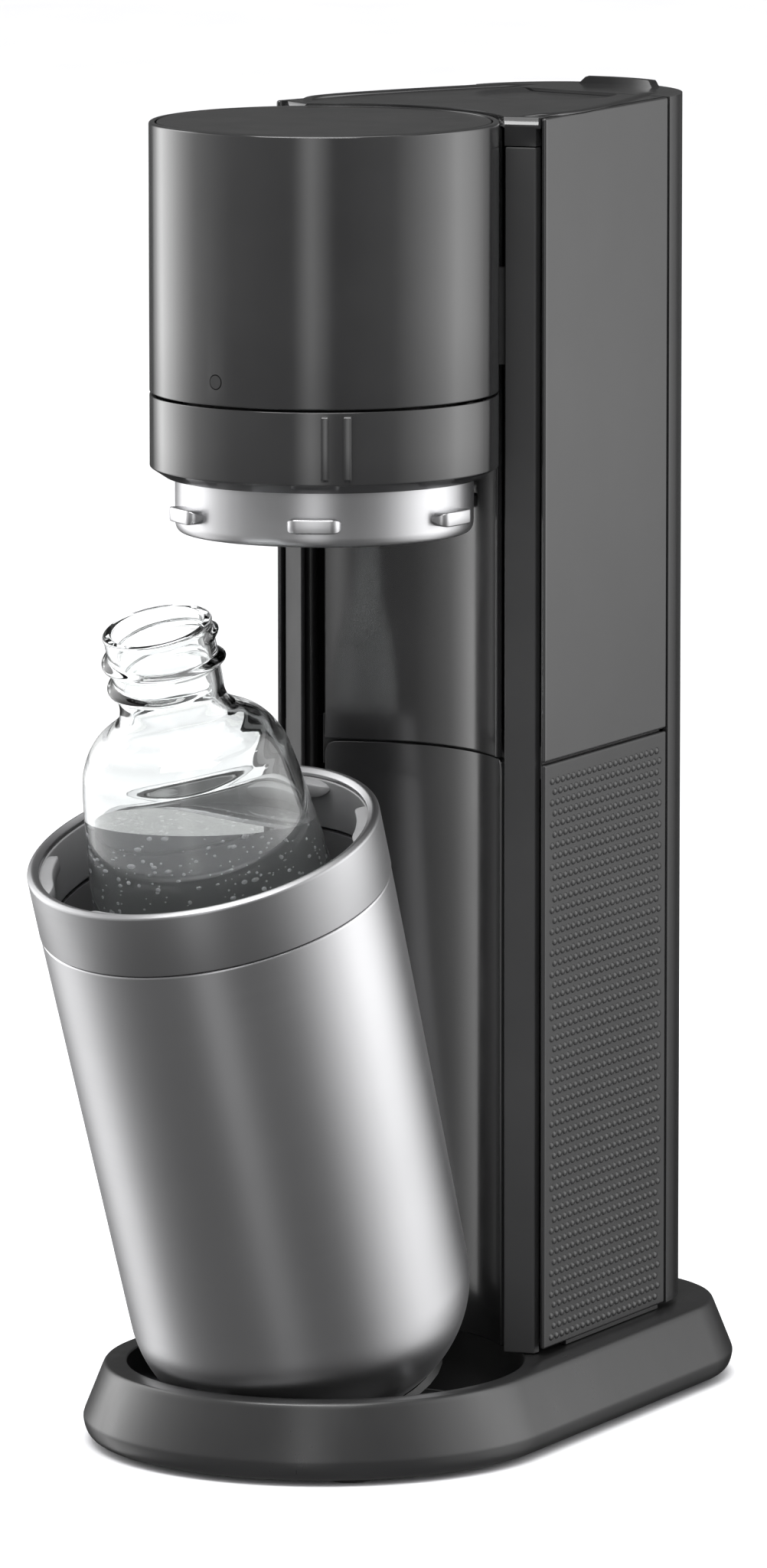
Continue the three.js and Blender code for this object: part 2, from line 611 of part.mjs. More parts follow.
function rimBand() {
  const top = CONTAINER.rimHeight;
  const outer = CONTAINER.rimR;
  return revolve([
    [containerR(bandBottom) + 0.2, bandBottom], [outer, top - CONTAINER.rimEdge], [outer - 0.8, top - 0.3],
    [outer - 2, top], [outer - 3.2, top - 0.3], [outer - 4, top - 1.3], [outer - 4, top - 2.4],
    [outer - 2.4, top - 2.4], [outer - 2.4, bandBottom],
  ]);
}

add('container_rim_band', rimBand(), steel, tilted);

function bayonetSocket() {
  const top = CONTAINER.rimHeight - 2.7;
  const ring = tube(SOCKET.outerR, SOCKET.innerR, bandBottom + 1, top);
  const span = (SOCKET.lugTo - SOCKET.lugFrom) / 2;
  const middle = (SOCKET.lugTo + SOCKET.lugFrom) / 2;
  const lugs = Array.from({ length: LUG.count }, (_, i) => {
    const turn = LUG.firstAngle + middle + (360 / LUG.count) * i;
    return lug(SOCKET.lugR, SOCKET.innerR + 0.6, span, top - 5.3, top - 0.3, turn);
  });
  return join(ring, ...lugs);
}

add('bayonet_socket', bayonetSocket(), greyPlastic, tilted);
const linerTop = CONTAINER.rimHeight - LINER.topDepth;
const linerOutside = -CONTAINER.wall - LINER.gap;
add('container_liner', cup(linerOutside, LINER.wall, linerTop), linerPlastic, tilted);

const REST_HEIGHT = 19.5;
function carafeRest() {
  const offset = linerOutside - LINER.wall - 0.4;
  const radius = CONTAINER.cornerR + offset;
  const bend = arc(CORNER.radius, CORNER.height, radius, -90, -54, 4).map((p) => [p.x, p.y]);
  const edge = bend[bend.length - 1][0];
  return revolve([[0, CORNER.height - radius], ...bend, [edge, REST_HEIGHT], [0, REST_HEIGHT]], 32);
}

add('carafe_rest', carafeRest(), rubber, tilted);

function tiltCradle() {
  const dishOuter = arc(CORNER.radius, CORNER.height, CONTAINER.cornerR + 2.8, -90, -54, 5);
  const dishInner = arc(CORNER.radius, CORNER.height, CONTAINER.cornerR + 0.4, -54, -90, 5);
  const floor = CORNER.height - CONTAINER.cornerR;
  const dish = revolve([
    [0, floor - 2.8], ...dishOuter.map((p) => [p.x, p.y]),
    ...dishInner.map((p) => [p.x, p.y]), [0, floor - 0.4],
  ]);
  const arms = SIDES.map(([, side]) => {
    const near = side * 18;
    const far = side * PIVOT.armEnd;
    return block([Math.min(near, far), -4.5, -3], [Math.max(near, far), 4.5, floor - 0.5]);
  });
  const bores = SIDES.map(([, side]) => (
    rod(PIVOT.pinR + FIT_GAP, PIVOT.pinStart - FIT_GAP, 70).rotateY((side * Math.PI) / 2)
  ));
  return cut(join(dish, ...arms), ...bores);
}

add('tilt_cradle', tiltCradle(), darkPlastic, tilted);
for (const [label, side] of SIDES) {
  const pin = rod(PIVOT.pinR, PIVOT.pinStart, PIVOT.pinEnd).rotateY((side * Math.PI) / 2);
  add(`cradle_pin_${label}`, pin, steel, tilted);
}

// ---- Carafe ---------------------------------------------------------------------------------

function glassCarafe() {
  const { mouthHeight, mouthR, boreR, threadR, neckR, bodyR, glass } = CARAFE;
  const foot = REST_HEIGHT + 0.4;
  const rim = CONTAINER.rimHeight;
  const mouth = rim + mouthHeight;
  const threads = [5, 14].flatMap((drop) => [
    [mouthR, mouth - drop + 2.2], [threadR, mouth - drop + 0.8],
    [threadR, mouth - drop - 0.8], [mouthR, mouth - drop - 2.2],
  ]);
  const corner = arc(bodyR - 10, foot + 10, 10, -90, 0, 4).map((p) => [p.x, p.y]);
  const wall = [
    [bodyR, rim - 60], [bodyR - 0.7, rim - 25], [bodyR - 2.9, rim], [bodyR - 6.4, rim + 26],
    [bodyR - 7.8, rim + 32], [bodyR - 11.5, rim + 37.5], [bodyR - 18, rim + 41.5],
    [neckR + 1, rim + 45], [neckR, rim + 49],
  ];
  const outer = [...corner, ...wall, ...threads.reverse(), [mouthR, mouth]];
  const inner = [
    [boreR, mouth], [boreR - 0.4, rim + 46], [bodyR - 20, rim + 39], [bodyR - 14, rim + 34.5],
    [bodyR - 10.4, rim + 30], [bodyR - 9, rim + 26], [bodyR - 5.5, rim], [bodyR - 3.3, rim - 25],
    [bodyR - glass, rim - 60], [bodyR - glass, foot + 13], [bodyR - glass - 8, foot + 5], [0, foot + 4],
  ];
  return revolve([[0, foot], ...outer, ...inner], 30);
}

add('glass_carafe', glassCarafe(), clearGlass, tilted);

// ---- Origin: the middle of the footprint of the bounding box --------------------------------

const widest = CONTAINER.rimHeight - CONTAINER.rimEdge;
const frontReach = CONTAINER.rimR * Math.cos(radians(TILT)) + widest * Math.sin(radians(TILT));
const rearReach = BASE.rearY + BASE.rearR;
machine.position.y = (frontReach - rearReach) / 2;

export default machine;
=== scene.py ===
"""Soda carbonator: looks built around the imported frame.

Lengths are in metres; MM turns millimetres into metres.
"""
import json
import math
import random

import bmesh
import bpy
from mathutils import Matrix, Vector


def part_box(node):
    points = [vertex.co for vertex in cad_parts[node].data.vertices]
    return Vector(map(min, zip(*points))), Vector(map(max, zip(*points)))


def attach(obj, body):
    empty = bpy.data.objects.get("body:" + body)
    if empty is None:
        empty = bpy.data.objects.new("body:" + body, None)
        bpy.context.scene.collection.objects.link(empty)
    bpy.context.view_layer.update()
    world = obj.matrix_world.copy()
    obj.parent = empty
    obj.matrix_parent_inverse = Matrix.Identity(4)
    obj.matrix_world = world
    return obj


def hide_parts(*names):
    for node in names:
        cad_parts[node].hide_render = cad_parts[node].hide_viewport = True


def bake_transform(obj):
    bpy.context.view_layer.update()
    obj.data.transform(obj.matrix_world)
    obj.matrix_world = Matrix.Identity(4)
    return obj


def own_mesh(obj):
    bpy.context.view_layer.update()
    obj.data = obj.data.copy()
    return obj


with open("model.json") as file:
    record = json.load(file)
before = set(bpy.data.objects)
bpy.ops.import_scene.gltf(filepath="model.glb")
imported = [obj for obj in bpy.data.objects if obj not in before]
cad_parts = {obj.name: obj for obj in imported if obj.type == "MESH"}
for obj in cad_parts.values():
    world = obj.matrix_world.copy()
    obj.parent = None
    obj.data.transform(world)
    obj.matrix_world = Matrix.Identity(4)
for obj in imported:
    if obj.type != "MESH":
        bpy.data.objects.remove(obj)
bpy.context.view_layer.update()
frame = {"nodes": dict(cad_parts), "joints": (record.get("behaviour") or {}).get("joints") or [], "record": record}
joints = {joint["name"]: joint for joint in frame["joints"]}

MM = 0.001
FINE = 192              # steps round a large turned piece


# ---- Places, from the frame ------------------------------------------------------------------

def low(node):
    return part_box(node)[0]


def high(node):
    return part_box(node)[1]


def middle(node):
    return (low(node) + high(node)) / 2


HEAD_AXIS = Vector((0, middle("head_cover").y, 0))
HEAD_R = high("head_cover").x
HEAD_TOP = high("head_cover").z
HEAD_BOTTOM = low("head_cover").z
COLLAR_BOTTOM = low("locking_collar").z
COLLAR_TOP = high("locking_collar").z
BASE_TOP = high("base_shell").z
BASE_BOTTOM = low("base_shell").z
COLUMN_TOP = high("side_panel_upper_left").z
COLUMN_BOTTOM = low("side_panel_lower_left").z
SEAM_LOW = high("side_panel_lower_left").z
SEAM_HIGH = low("side_panel_upper_left").z
TILT_PIVOT = Vector(joints["container_tilt"]["pos_m"])
TILT = -math.radians(joints["container_tilt"]["range_deg"][0])
TILTED = Matrix.Translation(TILT_PIVOT) @ Matrix.Rotation(TILT, 4, "X")
AT_HEAD = Matrix.Translation(HEAD_AXIS)


# ---- Mesh helpers ----------------------------------------------------------------------------

def finish_mesh(name, bm, body, material, replaces=(), place=None, sharp=35):
    """Makes an object from a bmesh, shades it smooth up to an angle, and rides it on a body."""
    bmesh.ops.remove_doubles(bm, verts=bm.verts, dist=1e-7)
    bmesh.ops.recalc_face_normals(bm, faces=bm.faces)
    mesh = bpy.data.meshes.new(name)
    bm.to_mesh(mesh)
    bm.free()
    mesh.shade_smooth()
    mesh.set_sharp_from_angle(angle=math.radians(sharp))
    piece = bpy.data.objects.new(name, mesh)
    bpy.context.scene.collection.objects.link(piece)
    if place is not None:
        piece.matrix_world = place
    mesh.materials.append(material)
    if body is not None:
        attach(piece, body)
    if replaces:
        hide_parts(*replaces)
    return piece


def copied(node_name):
    """A frame node's shape as a bmesh, copied as it stands, for a piece that bends or shortens on the real
    machine.
    """
    source = frame["nodes"][node_name]
    bm = bmesh.new()
    bm.from_mesh(source.data)
    bmesh.ops.transform(bm, matrix=source.matrix_world, verts=bm.verts)
    return bm


def fillet(corners, steps=5):
    """A closed outline of (x, y, corner radius) points, with each corner rounded."""
    outline = []
    for i, (x, y, radius) in enumerate(corners):
        point = Vector((x, y))
        if radius <= 0:
            outline.append(point)
            continue
        before = Vector(corners[i - 1][:2]) - point
        after = Vector(corners[(i + 1) % len(corners)][:2]) - point
        half = before.angle(after) / 2
        reach = min(radius / math.tan(half), 0.48 * before.length, 0.48 * after.length)
        radius = reach * math.tan(half)
        centre = point + (before.normalized() + after.normalized()).normalized() * (radius / math.sin(half))
        start = point + before.normalized() * reach - centre
        end = point + after.normalized() * reach - centre
        sweep = start.angle(end)
        for k in range(steps + 1):
            t = k / steps
            spoke = (start * math.sin((1 - t) * sweep) + end * math.sin(t * sweep)) / math.sin(sweep)
            outline.append(centre + spoke)
    return outline


def spline(points, steps=6):
    """A smooth open curve through (x, y) points."""
    knots = [Vector(p) for p in points]
    knots = [2 * knots[0] - knots[1]] + knots + [2 * knots[-1] - knots[-2]]
    curve = []
    for i in range(1, len(knots) - 2):
        a, b, c, d = knots[i - 1:i + 3]
        for k in range(steps):
            t = k / steps
            curve.append(0.5 * (2 * b + (c - a) * t + (2 * a - 5 * b + 4 * c - d) * t * t
                                + (3 * b - a - 3 * c + d) * t ** 3))
    curve.append(knots[-2])
    return curve


def lathe(profile, steps=FINE, swell=None):
    """A closed (radius, height) outline turned about Z.

    swell(radius, height, angle) says how far a point moves outwards.
    """
    bm = bmesh.new()
    rings = []
    for i in range(steps):
        angle = 2 * math.pi * i / steps
        ring = []
        for radius, height in profile:
            reach = radius + (swell(radius, height, angle) if swell else 0)
            ring.append(bm.verts.new((reach * math.cos(angle), reach * math.sin(angle), height)))
        rings.append(ring)
    for i in range(steps):
        here, there = rings[i], rings[(i + 1) % steps]
        for k in range(len(profile)):
            n = (k + 1) % len(profile)
            quad = [here[k], there[k], there[n], here[n]]
            if (quad[0].co - quad[1].co).length < 1e-9:
                quad.pop(1)
            if (quad[-1].co - quad[-2].co).length < 1e-9:
                quad.pop(-2)
            if len(quad) > 2:
                bm.faces.new(quad)
    return bm


def loft(rings):
    """A closed skin through equal rings of points, flat at both ends."""
    bm = bmesh.new()
    layers = [[bm.verts.new(p) for p in ring] for ring in rings]
    count = len(layers[0])
    for below, above in zip(layers, layers[1:]):
        for i in range(count):
            n = (i + 1) % count
            bm.faces.new((below[i], below[n], above[n], above[i]))
    bm.faces.new(list(reversed(layers[0])))
    bm.faces.new(layers[-1])
    bmesh.ops.recalc_face_normals(bm, faces=bm.faces)
    return bm


def prism(outline, bottom, top):
    """A flat outline raised from bottom to top."""
    return loft([[(x, y, height) for x, y in outline] for height in (bottom, top)])


def box_mesh(lower, upper):
    outline = [(lower[0], lower[1]), (upper[0], lower[1]), (upper[0], upper[1]), (lower[0], upper[1])]
    return prism(outline, lower[2], upper[2])


def combine(base, tools, mode):
    """Adds tools to a bmesh, or cuts them from it, and gives back one bmesh."""
    def temporary(bm):
        mesh = bpy.data.meshes.new("tool")
        bmesh.ops.remove_doubles(bm, verts=bm.verts, dist=1e-7)
        bmesh.ops.recalc_face_normals(bm, faces=bm.faces)
        bm.to_mesh(mesh)
        bm.free()
        obj = bpy.data.objects.new("tool", mesh)
        bpy.context.scene.collection.objects.link(obj)
        return obj

    body = temporary(base)
    others = [temporary(tool) for tool in tools]
    for other in others:
        step = body.modifiers.new("step", "BOOLEAN")
        step.operation = mode
        step.solver = "EXACT"
        step.object = other
    bpy.context.view_layer.update()
    done = body.evaluated_get(bpy.context.evaluated_depsgraph_get()).to_mesh()
    result = bmesh.new()
    result.from_mesh(done)
    for obj in [body, *others]:
        mesh = obj.data
        bpy.data.objects.remove(obj)
        bpy.data.meshes.remove(mesh)
    return result


def gathered(pieces):
    """Several closed bodies in one bmesh."""
    bm = bmesh.new()
    for piece in pieces:
        made = bpy.data.meshes.new("piece")
        piece.to_mesh(made)
        piece.free()
        bm.from_mesh(made)
        bpy.data.meshes.remove(made)
    return bm


def soften(piece, width, segments=3, angle=30):
    """Rounds the edges of a piece that are sharper than an angle."""
    step = piece.modifiers.new("rounded edges", "BEVEL")
    step.width = width
    step.segments = segments
    step.limit_method = "ANGLE"
    step.angle_limit = math.radians(angle)
    step.harden_normals = True


def turned(bm, matrix):
    bmesh.ops.transform(bm, matrix=matrix, verts=bm.verts)
    return bm


# ---- Materials -------------------------------------------------------------------------------

class Nodes:
    """Short names for building one material's node tree."""

    def __init__(self, name):
        self.material = bpy.data.materials.new(name)
        self.material.use_nodes = True
        self.tree = self.material.node_tree
        self.shader = self.tree.nodes["Principled BSDF"]
        self.place = self.tree.nodes.new("ShaderNodeTexCoord").outputs["Object"]

    def node(self, kind, **inputs):
        node = self.tree.nodes.new(kind)
        for key, value in inputs.items():
            socket = node.inputs[key.replace("_", " ")]
            if isinstance(value, bpy.types.NodeSocket):
                self.tree.links.new(value, socket)
            else:
                socket.default_value = value
        return node

    def scaled(self, x, y, z):
        return self.node("ShaderNodeMapping", Vector=self.place, Scale=(x, y, z)).outputs["Vector"]

    def noise(self, scale, detail=2.0, vector=None, roughness=0.5):
        source = vector if vector is not None else self.place
        return self.node("ShaderNodeTexNoise", Vector=source, Scale=scale, Detail=detail,
                         Roughness=roughness).outputs["Fac"]

    def spread(self, value, start, end, from_low=0.3, from_high=0.7):
        node = self.node("ShaderNodeMapRange", Value=value)
        node.inputs["From Min"].default_value = from_low
        node.inputs["From Max"].default_value = from_high
        node.inputs["To Min"].default_value = start
        node.inputs["To Max"].default_value = end
        return node.outputs["Result"]

    def shades(self, value, dark, light):
        node = self.tree.nodes.new("ShaderNodeValToRGB")
        node.color_ramp.elements[0].position = 0.3
        node.color_ramp.elements[1].position = 0.7
        node.color_ramp.elements[0].color = (*dark, 1)
        node.color_ramp.elements[1].color = (*light, 1)
        self.tree.links.new(value, node.inputs["Fac"])
        return node.outputs["Color"]

    def bump(self, value, distance, strength):
        node = self.node("ShaderNodeBump", Height=value, Distance=distance, Strength=strength)
        return node.outputs["Normal"]

    def set(self, **inputs):
        for key, value in inputs.items():
            socket = self.shader.inputs[key.replace("_", " ")]
            if isinstance(value, bpy.types.NodeSocket):
                self.tree.links.new(value, socket)
            else:
                socket.default_value = value
        return self.material


def moulded(name, dark, light, gloss, dull, grain, grain_depth, coat=0.0):
    """Moulded plastic: faint flow marks, handling smears and a fine surface grain."""
    n = Nodes(name)
    flow = n.noise(22, 4, roughness=0.6)
    smears = n.noise(70, 5, n.scaled(1, 1, 0.35), 0.65)
    surface = n.bump(n.noise(grain, 3), grain_depth, 0.6)
    return n.set(Base_Color=n.shades(flow, dark, light), Roughness=n.spread(smears, gloss, dull),
                 Normal=surface, Coat_Weight=coat, Coat_Roughness=0.08)


def metal(name, dark, light, gloss, dull, across, depth, stretch, anisotropy=0.0):
    """Ground or brushed metal: long lines across Z, with slow changes of tone."""
    n = Nodes(name)
    lines = n.noise(1.0, 3, n.scaled(stretch, stretch, across), 0.7)
    cloud = n.noise(16, 3)
    surface = n.bump(lines, depth, 0.5)
    material = n.set(Base_Color=n.shades(cloud, dark, light), Roughness=n.spread(lines, gloss, dull),
                     Metallic=1.0, Normal=surface)
    if anisotropy:
        tangent = n.tree.nodes.new("ShaderNodeTangent")
        tangent.direction_type = "RADIAL"
        tangent.axis = "Z"
        n.set(Tangent=tangent.outputs["Tangent"], Anisotropic=anisotropy, Anisotropic_Rotation=0.25)
    return material


def grey(value):
    return (value, value, value * 1.02)


gloss_shell = moulded("gloss_shell", grey(0.013), grey(0.017), 0.13, 0.20, 900, 0.000004, 0.25)
satin_shell = moulded("satin_shell", grey(0.013), grey(0.017), 0.27, 0.36, 1500, 0.000010)
strip_matte = moulded("strip_matte", grey(0.018), grey(0.023), 0.50, 0.60, 1500, 0.000012)
textured_shell = moulded("textured_shell", grey(0.013), grey(0.017), 0.26, 0.35, 1400, 0.000008)
dark_structure = moulded("dark_structure", grey(0.010), grey(0.016), 0.42, 0.56, 2200, 0.000020)
grey_plastic = moulded("grey_plastic", grey(0.19), grey(0.24), 0.34, 0.46, 1800, 0.000010)
rubber = moulded("rubber", grey(0.008), grey(0.014), 0.66, 0.82, 2600, 0.000030)
cylinder_paint = moulded("cylinder_paint", grey(0.36), grey(0.42), 0.32, 0.42, 1600, 0.000012, 0.2)
liner_grey = moulded("liner_grey", grey(0.105), grey(0.130), 0.32, 0.44, 1800, 0.000008)
# Near-black for the guide rods in the head's slot, darkened to match the deep shade in that slot: painted shade.
black_steel = moulded("black_steel", grey(0.010), grey(0.014), 0.34, 0.46, 1200, 0.000006)
brushed_steel = metal("brushed_steel", grey(0.48), grey(0.52), 0.34, 0.39, 3800, 0.0000005, 14, 0.35)
rim_steel = metal("rim_steel", grey(0.35), grey(0.39), 0.38, 0.44, 3800, 0.0000005, 14, 0.35)
plain_steel = metal("plain_steel", grey(0.52), grey(0.60), 0.14, 0.24, 900, 0.000002, 500)
brass = metal("brass", (0.50, 0.36, 0.14), (0.60, 0.45, 0.20), 0.22, 0.34, 1800, 0.000003, 60)


def glass_material(name, tint, ior, gloss, dull, clear=1.0):
    """Pressed glass or water: clear, with a slight waviness."""
    n = Nodes(name)
    wave = n.noise(38, 2)
    surface = n.bump(wave, 0.00006, 0.35)
    lighter = tuple(min(1.0, part * 1.03) for part in tint)
    return n.set(Base_Color=n.shades(n.noise(9, 2), tint, lighter),
                 Roughness=n.spread(n.noise(160, 4), gloss, dull),
                 Transmission_Weight=clear, IOR=ior, Normal=surface)


clear_glass = glass_material("clear_glass", (0.895, 0.91, 0.905), 1.5, 0.0, 0.03)
water_look = glass_material("water", (0.80, 0.81, 0.82), 1.33, 0.0, 0.01, 0.88)


def bubble_material():
    n = Nodes("bubbles")
    shade = n.shades(n.noise(420, 2), grey(0.75), grey(0.95))
    return n.set(Base_Color=shade, Roughness=n.spread(n.noise(500, 2), 0.04, 0.12), Transmission_Weight=0.35,
                 IOR=1.5)


bubble_look = bubble_material()
SLOT_LOOKS = {
    "gloss_shell": gloss_shell, "satin_shell": satin_shell, "textured_shell": textured_shell,
    "dark_structure": dark_structure, "grey_plastic": grey_plastic, "brushed_steel": brushed_steel,
    "plain_steel": plain_steel,
    "brass": brass, "rubber": rubber, "liner_grey": liner_grey, "black_steel": black_steel,
    "cylinder_paint": cylinder_paint, "clear_glass": clear_glass,
}


# ---- CAD nodes that stay: a real material and smooth shading, split at sharp edges ------------

slot_of = {part["node"]: part["material_slot"] for part in frame["record"]["subparts"]}
for node_name, node in frame["nodes"].items():
    node.data.materials.clear()
    node.data.materials.append(SLOT_LOOKS[slot_of[node_name]])
    node.data.shade_smooth()
    weld = node.modifiers.new("weld", "WELD")
    weld.merge_threshold = 1e-6
    split = node.modifiers.new("split", "EDGE_SPLIT")
    split.split_angle = math.radians(35)

# ---- Base -------------------------------------------------------------------------------------

BASE_FRONT_R = high("base_shell").x                       # the front circle at its widest
BASE_FRONT_Y = low("base_shell").y + BASE_FRONT_R
BASE_REAR_R = 56.3 * MM
BASE_REAR_Y = high("base_shell").y - BASE_REAR_R
DECK_INSET = 7.9 * MM
WELL_R = 66 * MM


def footprint(inset, height):
    """Two circles and their tangents, drawn in by an inset."""
    slope = math.asin((BASE_FRONT_R - BASE_REAR_R) / (BASE_REAR_Y - BASE_FRONT_Y))
    ring = []
    for centre, radius, start, end, steps in (
        (BASE_FRONT_Y, BASE_FRONT_R, math.pi - slope, 2 * math.pi + slope, 96),
        (BASE_REAR_Y, BASE_REAR_R, slope, math.pi - slope, 64),
    ):
        for i in range(steps + 1):
            angle = start + (end - start) * i / steps
            reach = radius - inset
            ring.append(Vector((reach * math.cos(angle), centre + reach * math.sin(angle), height)))
    return ring


def base_body():
    wide = BASE_BOTTOM + 6.5 * MM
    section = spline([(5.0 * MM, BASE_BOTTOM), (2.6 * MM, BASE_BOTTOM + 0.9 * MM),
                      (0.9 * MM, BASE_BOTTOM + 3.0 * MM), (0, wide), (0.5 * MM, wide + 2.2 * MM)], 4)
    section = [tuple(p) for p in section]
    deck = [(DECK_INSET - 1.6 * MM, BASE_TOP - 2.1 * MM), (DECK_INSET - 1.05 * MM, BASE_TOP - 0.9 * MM),
            (DECK_INSET - 0.55 * MM, BASE_TOP - 0.3 * MM), (DECK_INSET + 0.1 * MM, BASE_TOP)]
    outer = loft([footprint(inset, z) for inset, z in section + deck])
    under = loft([footprint(8 * MM, BASE_BOTTOM - 2 * MM), footprint(8 * MM, BASE_BOTTOM + 1.9 * MM)])
    well = turned(lathe([(0, 4.2 * MM), (WELL_R, 4.2 * MM), (WELL_R, 60 * MM), (0, 60 * MM)]), AT_HEAD)
    return combine(outer, [under, well], "DIFFERENCE")


base = finish_mesh("base_body", base_body(), "stand", satin_shell, ["base_shell"], sharp=28)
soften(base, 0.7 * MM, 3, 50)


# ---- Column -----------------------------------------------------------------------------------

BAY_HALF = math.radians(37.8)
BAY_UPPER_R = 58.5 * MM
BAY_LOWER_R = 60.2 * MM
BAY_SKIN = 2.2 * MM


def bay_wall(inner_r, bottom, top, corner):
    """A curved panel round the head axis, with rounded upper corners."""
    bm = bmesh.new()
    across, levels = 72, 24
    outside, inside = [], []
    for i in range(across + 1):
        turn = -BAY_HALF + 2 * BAY_HALF * i / across
        edge = (BAY_HALF - abs(turn)) * inner_r
        drop = corner - math.sqrt(max(corner ** 2 - (corner - edge) ** 2, 0)) if edge < corner else 0
        for reach, grid in ((inner_r, inside), (inner_r + BAY_SKIN, outside)):
            column = []
            for k in range(levels + 1):
                height = bottom + (top - drop - bottom) * k / levels
                place = (reach * math.sin(turn), HEAD_AXIS.y + reach * math.cos(turn), height)
                column.append(bm.verts.new(place))
            grid.append(column)
    for grid in (inside, outside):
        for i in range(across):
            for k in range(levels):
                bm.faces.new((grid[i][k], grid[i + 1][k], grid[i + 1][k + 1], grid[i][k + 1]))
    for i in range(across):
        for k in (0, levels):
            bm.faces.new((inside[i][k], outside[i][k], outside[i + 1][k], inside[i + 1][k]))
    for i in (0, across):
        for k in range(levels):
            bm.faces.new((inside[i][k], inside[i][k + 1], outside[i][k + 1], outside[i][k]))
    return bm


for level, radius, corner in (("upper", BAY_UPPER_R, 1 * MM), ("lower", BAY_LOWER_R, 3.5 * MM)):
    bay_name = f"bay_panel_{level}"
    wall_mesh = bay_wall(radius, low(bay_name).z, high(bay_name).z, corner)
    wall = finish_mesh(f"bay_wall_{level}", wall_mesh, "stand", gloss_shell, [bay_name])
    soften(wall, 0.5 * MM, 3, 40)

SIDE_TURN = math.radians(9.93)
REAR_R = 41.3 * MM
SIDE_GAP = 0.7 * MM             # between a side panel's rear edge and the rear cover
REAR_Y = high("side_panel_upper_left").y - REAR_R * math.sin(SIDE_TURN) + SIDE_GAP * math.cos(SIDE_TURN)
SIDE_FRONT_Y = low("side_panel_upper_left").y
SIDE_FRONT_X = high("side_panel_upper_right").x


def side_point(along, inward, side=1):
    """A point on a side panel: along runs back from its front edge, inward from its face."""
    x = SIDE_FRONT_X - along * math.sin(SIDE_TURN) - inward * math.cos(SIDE_TURN)
    y = SIDE_FRONT_Y + along * math.cos(SIDE_TURN) - inward * math.sin(SIDE_TURN)
    return Vector((side * x, y))


SIDE_LENGTH = (REAR_Y - SIDE_FRONT_Y + REAR_R * math.sin(SIDE_TURN)) / math.cos(SIDE_TURN)


def dashes(side):
    """Rows of small raised dashes on a lower side panel, each a rounded pillow."""
    pitch_along, pitch_up = 3.9 * MM, 3.6 * MM
    half_long, half_high, rise = 1.8 * MM, 1.3 * MM, 0.6 * MM
    margin = 3.4 * MM
    bottom = COLUMN_BOTTOM + margin
    rows = int((SEAM_LOW - margin - bottom) / pitch_up)
    columns = int((SIDE_LENGTH - 2 * margin) / pitch_along)
    bm = bmesh.new()
    for row in range(rows + 1):
        shift = 0.5 * pitch_along * (row % 2)
        for column in range(columns):
            along = margin + shift + pitch_along * (column + 0.5)
            if along > SIDE_LENGTH - margin:
                continue
            height = bottom + row * pitch_up
            rings = []
            for size, out in ((1.0, -0.05 * MM), (0.8, 0.5 * rise), (0.45, 0.88 * rise), (0.15, rise)):
                ring = []
                for k in range(8):
                    angle = 2 * math.pi * (k + 0.5) / 8
                    spot = side_point(along + half_long * size * math.cos(angle), -out, side)
                    ring.append(bm.verts.new((spot.x, spot.y, height + half_high * size * math.sin(angle))))
                rings.append(ring)
            for inner, outer in zip(rings, rings[1:]):
                for k in range(8):
                    n = (k + 1) % 8
                    bm.faces.new((inner[k], inner[n], outer[n], outer[k]))
            bm.faces.new(rings[-1])
            bm.faces.new(list(reversed(rings[0])))
    return bm


def mirrored(points):
    return [(-x, y) for x, y in reversed(points)]


def pillar_outline():
    """The narrow front strip beside the bay, folded back round its outer edge."""
    inner = Vector((42.4 * MM, HEAD_AXIS.y + 41.9 * MM))
    outer = Vector((52.3 * MM, HEAD_AXIS.y + 45.8 * MM))
    run = (outer - inner).normalized()
    inward = Vector((-run.y, run.x)) * 2 * MM
    fold_x = outer.x - 2 * MM
    fold_y = outer.y + inward.y - (2 * MM + inward.x) * (run.y / run.x)
    back_y = HEAD_AXIS.y + 49 * MM
    return [inner, outer, Vector((outer.x, back_y)), Vector((fold_x, back_y)), Vector((fold_x, fold_y)),
            inner + inward + run * MM]


PANEL_SKIN = 1.8 * MM
PANEL_LEVELS = (("lower", "textured_shell", textured_shell), ("upper", "gloss_shell", gloss_shell))
for label, side in (("left", -1), ("right", 1)):
    end = SIDE_LENGTH - SIDE_GAP
    outline = [side_point(0, 0), side_point(end, 0), side_point(end, PANEL_SKIN), side_point(0, PANEL_SKIN)]
    strip = pillar_outline()
    if side < 0:
        outline, strip = mirrored(outline), mirrored(strip)
    for level, slot_name, look in PANEL_LEVELS:
        node_name = f"side_panel_{level}_{label}"
        raised = prism(outline, low(node_name).z, high(node_name).z)
        panel = finish_mesh(f"side_{level}_{label}", raised, "stand", look, [node_name])
        soften(panel, 0.85 * MM, 4)
    # A dark strip just inside the seam between the lower and upper panel: painted shade, standing in for the shade
    # inside the gap.
    near, far = PANEL_SKIN + 0.2 * MM, PANEL_SKIN + 1 * MM
    shade_backing = [side_point(2 * MM, near, side), side_point(end - 2 * MM, near, side),
               side_point(end - 2 * MM, far, side), side_point(2 * MM, far, side)]
    finish_mesh(f"side_seam_shade_strip_{label}", prism(shade_backing, SEAM_LOW - 5 * MM, SEAM_HIGH + 5 * MM), "stand",
                dark_structure)
    pillar_name = f"front_pillar_{label}"
    raised = prism(strip, low(pillar_name).z, high(pillar_name).z)
    pillar = finish_mesh(f"front_strip_{label}", raised, "stand", strip_matte, [pillar_name])
    soften(pillar, 0.6 * MM, 3)
    finish_mesh(f"side_dashes_{label}", dashes(side), "stand", textured_shell, sharp=60)


